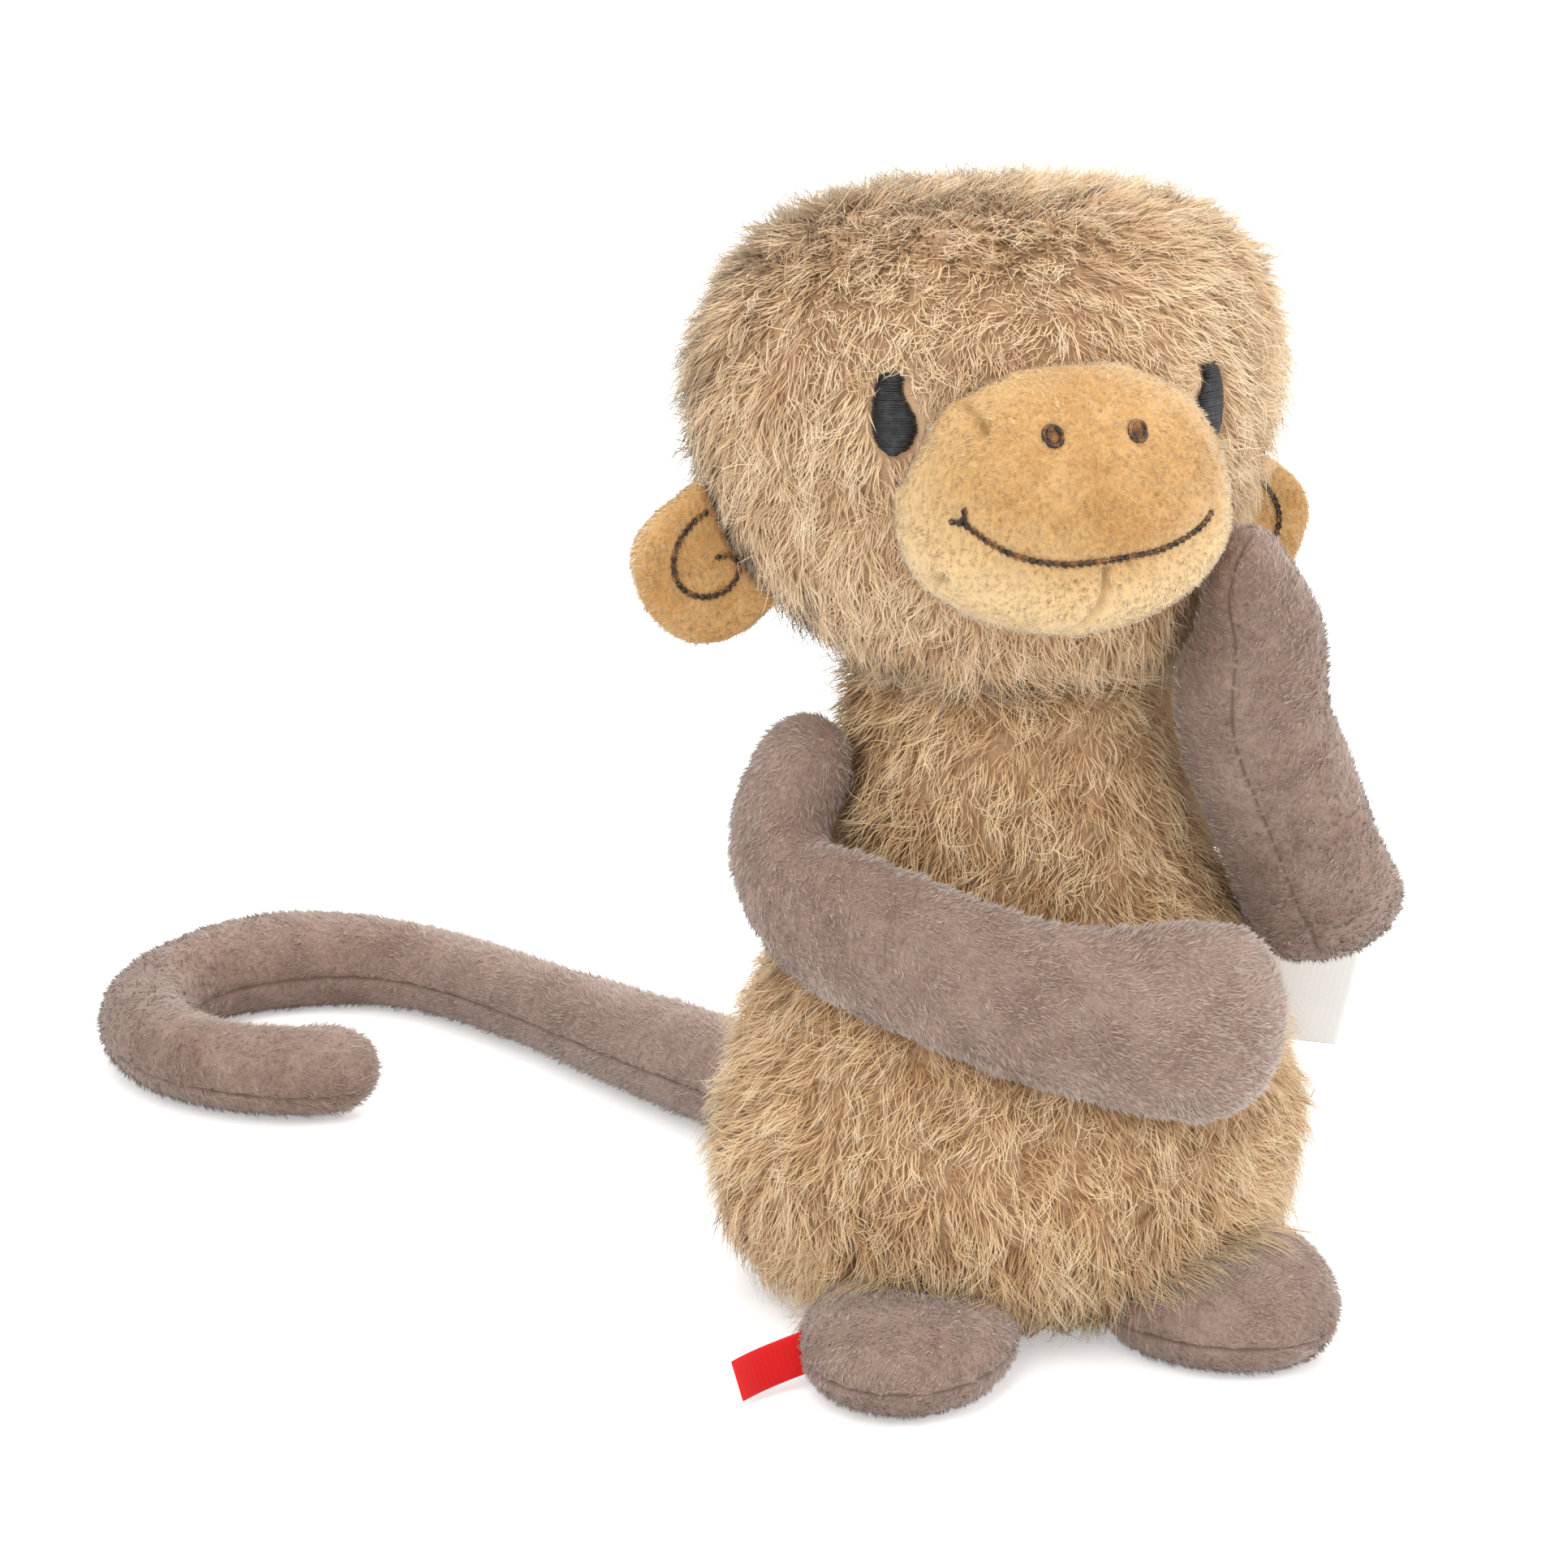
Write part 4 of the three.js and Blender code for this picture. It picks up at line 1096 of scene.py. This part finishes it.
# The eye's edge, from its lowest point up: heights, and how far it reaches outward and inward
EYE_HEIGHTS = np.array([-9.1, -7.5, -5.8, -4.0, -2.3, -0.5, 1.2, 3.0, 4.7, 6.5, 7.8, 9.1]) * MM
EYE_OUTER = np.array([1.7, 3.7, 4.5, 4.8, 5.0, 5.0, 4.9, 4.7, 4.3, 3.9, 3.4, 2.4]) * MM
EYE_INNER = np.array([0.5, 2.9, 3.5, 4.2, 4.2, 3.9, 3.3, 2.3, 1.5, 1.4, 1.8, 1.7]) * MM
EYE_ASIDE = 38.2 * MM
EYE_FRONT = -61 * MM
EYE_RISE = {-1: 68.8 * MM, 1: 66.8 * MM}
EYE_STITCH = 0.5 * MM


def eye_middle(side):
    return np.array([FACE_MIDDLE + side * EYE_ASIDE, EYE_FRONT, HEAD_FLOOR + EYE_RISE[side]])


def eye_reach(height):
    """How far an eye reaches outward and inward at a height over its middle."""
    return (np.interp(height, EYE_HEIGHTS, edge) for edge in (EYE_OUTER, EYE_INNER))


def eye(name, side, head_tree):
    """Satin stitches laid side by side across the eye, over a padded middle."""
    random = np.random.default_rng(40 + side)
    middle, _, rise = eye_middle(side)
    lines = []
    for height in np.arange(EYE_HEIGHTS[0], EYE_HEIGHTS[-1], EYE_STITCH):
        outer, inner = (reach + random.normal(0, 0.1 * MM) for reach in eye_reach(height))
        slope = 0.06 * MM * random.normal()
        line = []
        for share in np.linspace(0, 1, 9):
            x = middle + side * (outer + (-inner - outer) * share)
            z = rise + height + slope * share
            dome = math.sin(math.pi * share) ** 0.5
            line.append(on_front(head_tree, x, z, (0.6 + 1.1 * dome) * MM))
        lines.append(line)
    threads(f"eye_{name}_stitches", lines, 0.31 * MM, "head", "black_thread", [f"eye_{name}"])


def eye_gap(points):
    return np.minimum(*(np.linalg.norm(points - eye_middle(side), axis=1) for _, side in SIDES))


def over_an_eye(points, border):
    """Whether a point lies behind or before an eye, as seen from the front."""
    over = np.zeros(len(points), bool)
    for _, side in SIDES:
        middle, _, rise = eye_middle(side)
        x = (points[:, 0] - middle) * side
        z = points[:, 2] - rise
        outer, inner = eye_reach(z)
        level = (z > EYE_HEIGHTS[0] - border) & (z < EYE_HEIGHTS[-1])
        over |= (x < outer + border) & (x > -inner - border) & level & (points[:, 1] < 0)
    return over


MOUTH = [
    (-39.5, 214.4), (-35, 210.6), (-30, 207.8), (-24.6, 206.2), (-18, 205.4), (-11, 205.6),
    (-4, 206.2), (3, 206.8), (8.5, 208), (13.5, 209.6), (17.5, 211.4), (20, 213.8),
]
MOUTH_TICKS = [[(-39.5, 214.2), (-39.4, 218.2)], [(-39.3, 214.4), (-42.2, 214.6)]]
MOUTH_LINES = [np.array(line) * MM for line in (MOUTH, *MOUTH_TICKS)]

NOSTRIL_RADIUS = 2.15 * MM
NOSTRIL_HEIGHT = 234.1 * MM
NOSTRILS = {"right": FACE_MIDDLE - 11.3 * MM, "left": FACE_MIDDLE + 8.9 * MM}


def mouth(tree):
    stitches = []
    for line in MOUTH_LINES:
        stitches += chain(line, tree, 0.25 * MM, 0.4 * MM, 1.9 * MM)
    threads("mouth_stitches", stitches, CHAIN_THREAD, "head", "brown_thread", ["mouth_stitching"])


def nostril(name, tree):
    """A round of dark thread, with a few stitches across its middle in a paler, lit copy of the
    thread, a painted highlight.
    """
    x = NOSTRILS[name]
    piece = f"nostril_{name}"
    ring = []
    for turn in np.linspace(0, 2 * math.pi, 19):
        aside, up = NOSTRIL_RADIUS * math.cos(turn), NOSTRIL_RADIUS * math.sin(turn)
        ring.append(on_front(tree, x + aside, NOSTRIL_HEIGHT + up, 0.3 * MM))
    threads(f"{piece}_rim", [ring], 0.55 * MM, "head", "brown_thread")
    random = np.random.default_rng(60 + round(x / MM))
    rows = []
    reach = NOSTRIL_RADIUS - 0.35 * MM
    for up in np.arange(-reach, reach, 0.42 * MM):
        half = math.sqrt(reach**2 - up**2) * random.uniform(0.85, 1.0) + 0.1 * MM
        row = []
        for share in np.linspace(-1, 1, 5):
            lift = (0.2 + 0.3 * (1 - share * share)) * MM
            row.append(on_front(tree, x + half * share, NOSTRIL_HEIGHT + up, lift))
        rows.append(row)
    threads(f"{piece}_stitches", rows, 0.28 * MM, "head", "brown_thread", [piece], "lit_brown_thread")


# The spiral on an ear, in millimetres out from its sewn edge and up along it
EAR_SPIRAL = [
    (0, 12.9), (3.8, 13.3), (9.2, 12.2), (13.2, 9.7), (15.6, 6.5), (16.5, 2.8), (15.3, -1.1),
    (12.5, -4.1), (8.5, -5.6), (4.6, -5.0), (2.2, -3.4), (1.8, -0.7), (3.2, 1.6), (5.6, 2.6),
]
EAR_ROOT_RISE = 28 * MM
EAR_ROOT_REACH = 61.6 * MM
EAR_LEAN = math.radians(36)
EAR_ROOT_HALF = 14


def ear_place(side, out, up):
    """A place on an ear that is drawn flat, out from its sewn edge and up along it."""
    x = EAR_ROOT_REACH + (out * math.cos(EAR_LEAN) + up * math.sin(EAR_LEAN)) * MM
    z = EAR_ROOT_RISE + (up * math.cos(EAR_LEAN) - out * math.sin(EAR_LEAN)) * MM
    return np.array([side * x + FACE_MIDDLE, z + HEAD_FLOOR])


def ear_spiral(name, side, tree):
    places = np.array([ear_place(side, *point) for point in EAR_SPIRAL])
    stitches = chain(places, tree, 0.2 * MM, 0.35 * MM, 1.7 * MM)
    ear = f"ear_{name}"
    threads(f"{ear}_stitches", stitches, CHAIN_THREAD, ear, "brown_thread", [f"{ear}_spiral"])


# Ribbons


def ribbon(name, seat, heading, side, length, width, wave, body, slot, node):
    """A ribbon folded back on itself: out in one layer, round its end, and back in the other."""
    bpy.ops.mesh.primitive_grid_add(x_subdivisions=52, y_subdivisions=10, size=2)
    piece = bpy.context.active_object
    piece.name = name
    piece.data.uv_layers[0].name = "weave"
    heading = unit(np.array(heading, float))
    side = laid_on(np.array(side, float), heading)
    out = np.cross(side, heading)
    flat = points_of(piece)
    share = 1 - np.abs(flat[:, 0])
    layer = np.sign(flat[:, 0]) * 0.45 * MM * np.sqrt(1 - share**8)
    reach, aside = (share * length)[:, None], (flat[:, 1] * width / 2)[:, None]
    bend = (layer + wave(share, flat[:, 1]))[:, None]
    set_points(piece, seat + reach * heading + aside * side + bend * out)
    modify(piece, "SOLIDIFY", thickness=0.35 * MM, offset=0)
    modify(piece, "SUBSURF", levels=1, render_levels=1)
    dress(smooth(piece), body, slot, [node])


def flag_wave(share, across):
    """Drops from its seam, then runs out almost level."""
    return (-3.4 * np.sin(share * math.pi * 0.8) + 1.6 * share + 0.3 * across) * MM


def label_wave(share, across):
    return 1.5 * share**2 * MM


# The monkey


def head_flow(at, facing):
    """Head fur falls down and outward, forward over the crown, and away from the eyes."""
    outward = unit((at - [FACE_MIDDLE, 0, HEAD_MIDDLE_HEIGHT]) * [1, 0.15, 0.3])
    outward *= 1 - 1.3 * hill(ear_root_distance(at), 16 * MM)[:, None]
    forward = np.clip(facing[:, 2:], 0, 1) * [0, -1.3, 0]
    lie = -UP + outward * 0.6 + forward + np.array([0, -0.15, 0])
    for _, side in SIDES:
        away = at - eye_middle(side)
        far = np.linalg.norm(away, axis=1, keepdims=True)
        lie += away / far * hill(far, 13 * MM) * 1.7
    return lie


def body_flow(at, facing):
    return -UP + unit(at * [1, 1, 0]) * 0.1


def muzzle_flow(at, facing):
    return unit((at - [FACE_MIDDLE, 0, MUZZLE_MIDDLE_HEIGHT]) * [1, 0, 1]) + [0, 0, -0.3]


def ear_painted_sheen(at, facing):
    """Painted sheen: the nap is painted paler where the cloth curves away from the front."""
    return 0.95 * (1 - np.abs(facing[:, 1])) - 0.3


def muzzle_sheen_share(at):
    """Painted sheen: paler from the honey round the nose towards the muzzle's edge and over the
    chin.
    """
    across = (at[:, 0] - FACE_MIDDLE) / (38 * MM)
    up = (at[:, 2] - NOSE_HEIGHT) / (25 * MM)
    share = np.clip((np.hypot(across, up) - 0.6) / 0.8, 0, 1)
    return share * share * (3 - 2 * share)


# The muzzle's pile takes the same painted sheen, over a darker offset.
def muzzle_sheen_tone(at, facing):
    return 0.48 * muzzle_sheen_share(at) - 0.32


def taupe_sheen_and_shade(light_offset):
    """Painted sheen, paler where the cloth turns away from the camera, over a painted light offset
    that lightens or darkens each part.
    """
    return lambda at, facing: 0.6 * (1 - np.abs(facing @ TO_CAMERA)) + light_offset


def ear_root_distance(points):
    """The distance from the line along which the nearer ear is sewn on."""
    gaps = []
    for _, side in SIDES:
        ends = [ear_place(side, 0, up) for up in (-EAR_ROOT_HALF, EAR_ROOT_HALF)]
        gaps.append(line_distance(points, np.array([(x, 0, z) for x, z in ends])))
    return np.minimum(*gaps)


def cover(form, body, family, nodes):
    """Dresses a stuffed form in its cloth."""
    slot, cloth, _ = family
    dress(form, body, cloth, nodes)


def make_muzzle():
    """The muzzle with its darts, its pile and its smile, of which it returns the surface."""
    nodes = ["muzzle_cover", "muzzle_stuffing"]
    form = stuffed("muzzle_form", nodes, 3 * MM, dart_distance, levels=2, shrink=0)
    sewn = press(form, dart_distance, DART_WIDTH, DART_DEPTH)
    tree = surface(form)
    smile = landed(MOUTH_LINES[0], tree, 0)
    press(form, lambda points: line_distance(points, smile), 2.2 * MM, 0.7 * MM)
    for x in NOSTRILS.values():
        centre = on_front(tree, x, NOSTRIL_HEIGHT, 0)
        press(form, lambda points: np.linalg.norm(points - centre, axis=1), 3.4 * MM, 1.1 * MM)
    # The darts' valleys are kept as painted shade for the cloth.
    paint(form, "sewn", sewn * DART_SHADE)
    # The painted sheen of the muzzle's edge is kept for the cloth to read.
    paint(form, "rim", muzzle_sheen_share(points_of(form)))
    cover(form, "head", HONEY_PILE, nodes)
    tree = surface(form)
    pile(
        form, "head", HONEY_PILE, muzzle_flow, density=2.0, length=1.5 * MM, seed=5,
        sheen_and_shade_of=muzzle_sheen_tone, root=0.15 * MM, seam=dart_distance, gap=0.6 * MM,
    )
    mouth(tree)
    return tree


def make_head():
    nodes = ["head_cover", "head_stuffing"]
    form = stuffed("head_form", nodes, 4 * MM)
    paint(form, "shaved", hill(eye_gap(points_of(form)), 13 * MM))
    cover(form, "head", HEAD_FUR, nodes)
    muzzle_tree = make_muzzle()
    head_tree = surface(form)
    for name, side in SIDES:
        eye(name, side, head_tree)
        nostril(name, muzzle_tree)

    def under_face(at):
        """Where the muzzle or an eye covers the head."""
        return over_an_eye(at, 0.3 * MM) | inside(muzzle_tree, at, 1.2 * MM)

    def near_neck(at, width):
        return hill(at[:, 2] - HEAD_FLOOR, width)

    def trim(at):
        """Shorter round the muzzle and the eyes and in front of the ears, longer at the neck."""
        shorter = 0.45 * hill(gap_to(muzzle_tree, at), 10 * MM) + 0.3 * hill(eye_gap(at), 15 * MM)
        front = at[:, 1] < 3 * MM
        shorter += 0.42 * hill(ear_root_distance(at), 13 * MM) * front
        return 1 - np.minimum(shorter, 0.66) + 0.3 * near_neck(at, 14 * MM)

    def painted_shade(at):
        """Painted shade under the chin, where it meets the body: a deeper tone."""
        return -0.4 * near_neck(at, 13 * MM)

    def thick(at):
        """Denser round the eyes and along the neck."""
        return 1 + 1.4 * hill(eye_gap(at), 11 * MM) + 1.3 * near_neck(at, 9 * MM)

    def settle(paths):
        """No hair hangs before an eye, from the front or from a little above and aside."""
        border = 0.6 * MM
        fine = np.concatenate([paths, (paths[:, 1:] + paths[:, :-1]) / 2], 1)
        before = np.clip(EYE_FRONT + 5 * MM - fine[..., 1:2], 0, None)
        seen = fine + before * [0.33, 1, -0.3]
        over = over_an_eye(fine.reshape(-1, 3), border) | over_an_eye(seen.reshape(-1, 3), border)
        clear = ~over.reshape(fine.shape[:2]).any(1)
        return paths[clear], clear

    rules = {"bare": under_face, "trim": trim, "thick": thick, "painted_shade": painted_shade}
    grow(Coat(form, head_flow, **HEAD_COAT, **rules), "head", HEAD_FUR, settle)


def make_ear(name, side):
    ear = f"ear_{name}"
    nodes = [f"{ear}_front", f"{ear}_back"]
    form = stuffed(f"{ear}_form", nodes, 2 * MM, ear_seam, soften=4, shrink=0.3 * MM, most=1.2 * MM)
    draw_in(form, ear_seam)
    cover(form, ear, HONEY_PILE, nodes)
    pile(
        form, ear, HONEY_PILE, same_way(side * 0.8, 0, -0.6), density=2.1, length=1.6 * MM,
        seed=11 + side, sheen_and_shade_of=ear_painted_sheen, root=0.15 * MM,
    )
    ear_spiral(name, side, surface(form))


def make_foot(name, side):
    """A foot with a flattened instep, of which it returns the surface."""
    foot = f"foot_{name}"
    nodes = [f"{foot}_top", f"{foot}_sole", f"{foot}_stuffing"]
    form = stuffed(f"{foot}_form", nodes, 3 * MM, foot_seam, shrink=0.4 * MM)
    points = points_of(form)
    points[:, 2] -= np.maximum(points[:, 2] - INSTEP_HEIGHT, 0) * 0.14
    set_points(form, points)
    draw_in(form, foot_seam)
    cover(form, foot, TAUPE_PILE, nodes)
    # The left foot's pile is painted darker, a painted shadow of the belly above it.
    pile(
        form, foot, TAUPE_PILE, same_way(side * 0.5, -0.87, -0.2), density=1.5, length=2 * MM,
        seed=21 + side, sheen_and_shade_of=taupe_sheen_and_shade(-0.16 - 0.14 * side), root=0.17 * MM, seam=foot_seam,
    )
    return surface(form)


def make_limb(limb, route, seam, seed, tone, density):
    nodes = [f"{limb}_cover", f"{limb}_stuffing"]
    form = stuffed(f"{limb}_form", nodes, 3 * MM, seam, shrink=0.2 * MM)
    draw_in(form, seam)
    cover(form, limb, TAUPE_PILE, nodes)
    pile(
        form, limb, TAUPE_PILE, route.heading, density, length=2.3 * MM,
        seed=seed, sheen_and_shade_of=taupe_sheen_and_shade(tone), root=0.17 * MM, seam=seam,
    )


def make_body(feet):
    """The body, whose fur lies over the surfaces of the feet."""
    nodes = ["body_cover", "body_stuffing"]
    form = stuffed("body_form", nodes, 4 * MM)
    cover(form, "body", BODY_FUR, [*nodes, "pellet_bag"])

    def under_feet(at):
        return inside(feet[0], at, 0) | inside(feet[1], at, 0)

    def near_feet(at):
        """One on the front close above a foot, and nothing down at the floor."""
        gap = np.minimum(*(np.abs(gap_to(tree, at)) for tree in feet))
        return hill(gap, 12 * MM) * (at[:, 1] < 0) * np.clip(at[:, 2] / MM / 12 - 0.6, 0, 1)

    def near_shoulder(at):
        return hill(np.linalg.norm(at - SHOULDER, axis=1), 17 * MM)

    def trim(at):
        """Longer above the feet and the right arm, and short along the floor."""
        return 1 + 0.42 * near_feet(at) + 0.5 * near_shoulder(at) - 0.5 * hill(at[:, 2], 13 * MM)

    def thick(at):
        """Denser along the neck and above the feet."""
        return 1 + 1.2 * hill(at[:, 2] - HEAD_FLOOR, 9 * MM) + 1.5 * near_feet(at)

    def ruffle(at):
        """Raised above the feet and the right arm."""
        return 0.8 * near_feet(at) + 0.5 * near_shoulder(at)

    def settle(paths):
        """The fur lies over the feet and stays above the floor."""
        for tree in feet:
            paths = draped(tree, paths, 0.8 * MM)
        paths[..., 2] = np.maximum(paths[..., 2], 0.5 * MM)
        return paths, np.ones(len(paths), bool)

    rules = {"bare": under_feet, "trim": trim, "thick": thick, "ruffle": ruffle}
    grow(Coat(form, body_flow, **BODY_COAT, **rules), "body", BODY_FUR, settle)


def main():
    make_head()
    feet = []
    for name, side in SIDES:
        make_ear(name, side)
        feet.append(make_foot(name, side))
    for limb, look in LIMBS.items():
        make_limb(limb, *look)
    make_body(feet)
    ribbon(
        "foot_ribbon", np.array([-70, -52.4, 9.4]) * MM, (-0.93, -0.33, -0.12), (-0.18, 0.33, 0.92),
        21 * MM, 10 * MM, flag_wave, "foot_right", "red_ribbon", "foot_flag",
    )
    ribbon(
        "side_ribbon", np.array([69, 3.6, 69]) * MM, (0.97, 0.05, -0.24), (0.24, 0, 0.97),
        28 * MM, 25 * MM, label_wave, "body", "white_ribbon", "side_label",
    )
    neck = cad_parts["neck_thread"]
    neck.data.materials.clear()
    neck.data.materials.append(FINISHES["brown_thread"])


def stage_and_light():
    """A plain pale floor and soft studio light, with a white backdrop for the camera."""
    scene = bpy.context.scene
    scene.view_settings.view_transform = "Standard"
    turn = math.radians(CAMERA_TURN)
    height = math.radians(CAMERA_HEIGHT)
    aside = Vector((math.cos(turn), -math.sin(turn), 0))
    level = math.cos(height)
    ahead = Vector((math.sin(turn) * level, math.cos(turn) * level, -math.sin(height)))
    camera = linked("camera", bpy.data.cameras.new("camera"))
    aim = aside * CAMERA_ASIDE + Vector((0, 0, CAMERA_AIM_HEIGHT))
    camera.location = aim - ahead * CAMERA_DISTANCE
    camera.rotation_euler = ahead.to_track_quat("-Z", "Y").to_euler()
    assign(camera.data, sensor_width=SENSOR, lens=FOCAL)
    scene.camera = camera

    bpy.ops.mesh.primitive_plane_add(size=30)
    floor = bpy.context.active_object
    floor.name = "floor"
    finish = Finish("pale_floor", 0.9, specular=0.0)
    seen = finish.node("LightPath", output="Is Camera Ray")
    finish.give(Base_Color=(0.9, 0.9, 0.9))
    glow = finish.node("Emission", inputs={"Color": (1, 1, 1), "Strength": seen * FLOOR_GLOW})
    finish.feed(finish.surface, finish.node("AddShader", inputs={0: finish.main(), 1: glow}))
    floor.data.materials.append(finish.material)

    scene.world = bpy.data.worlds.new("studio")
    room = Nodes(scene.world, "Background", "World Output")
    room.give(Color=(1, 1, 1), Strength=ROOM_LIGHT)
    shown = room.node("Background", inputs={"Color": (1, 1, 1)})
    seen = room.node("LightPath", output="Is Camera Ray")
    room.feed(room.surface, room.node("MixShader", inputs={0: seen, 1: room.main(), 2: shown}))

    for name, place, size, power in LAMPS:
        lamp = linked(name, assign(bpy.data.lights.new(name, "AREA"), size=size, energy=power))
        lamp.location = place
        lamp.rotation_euler = (LAMP_AIM - Vector(place)).to_track_quat("-Z", "Y").to_euler()


main()
stage_and_light()
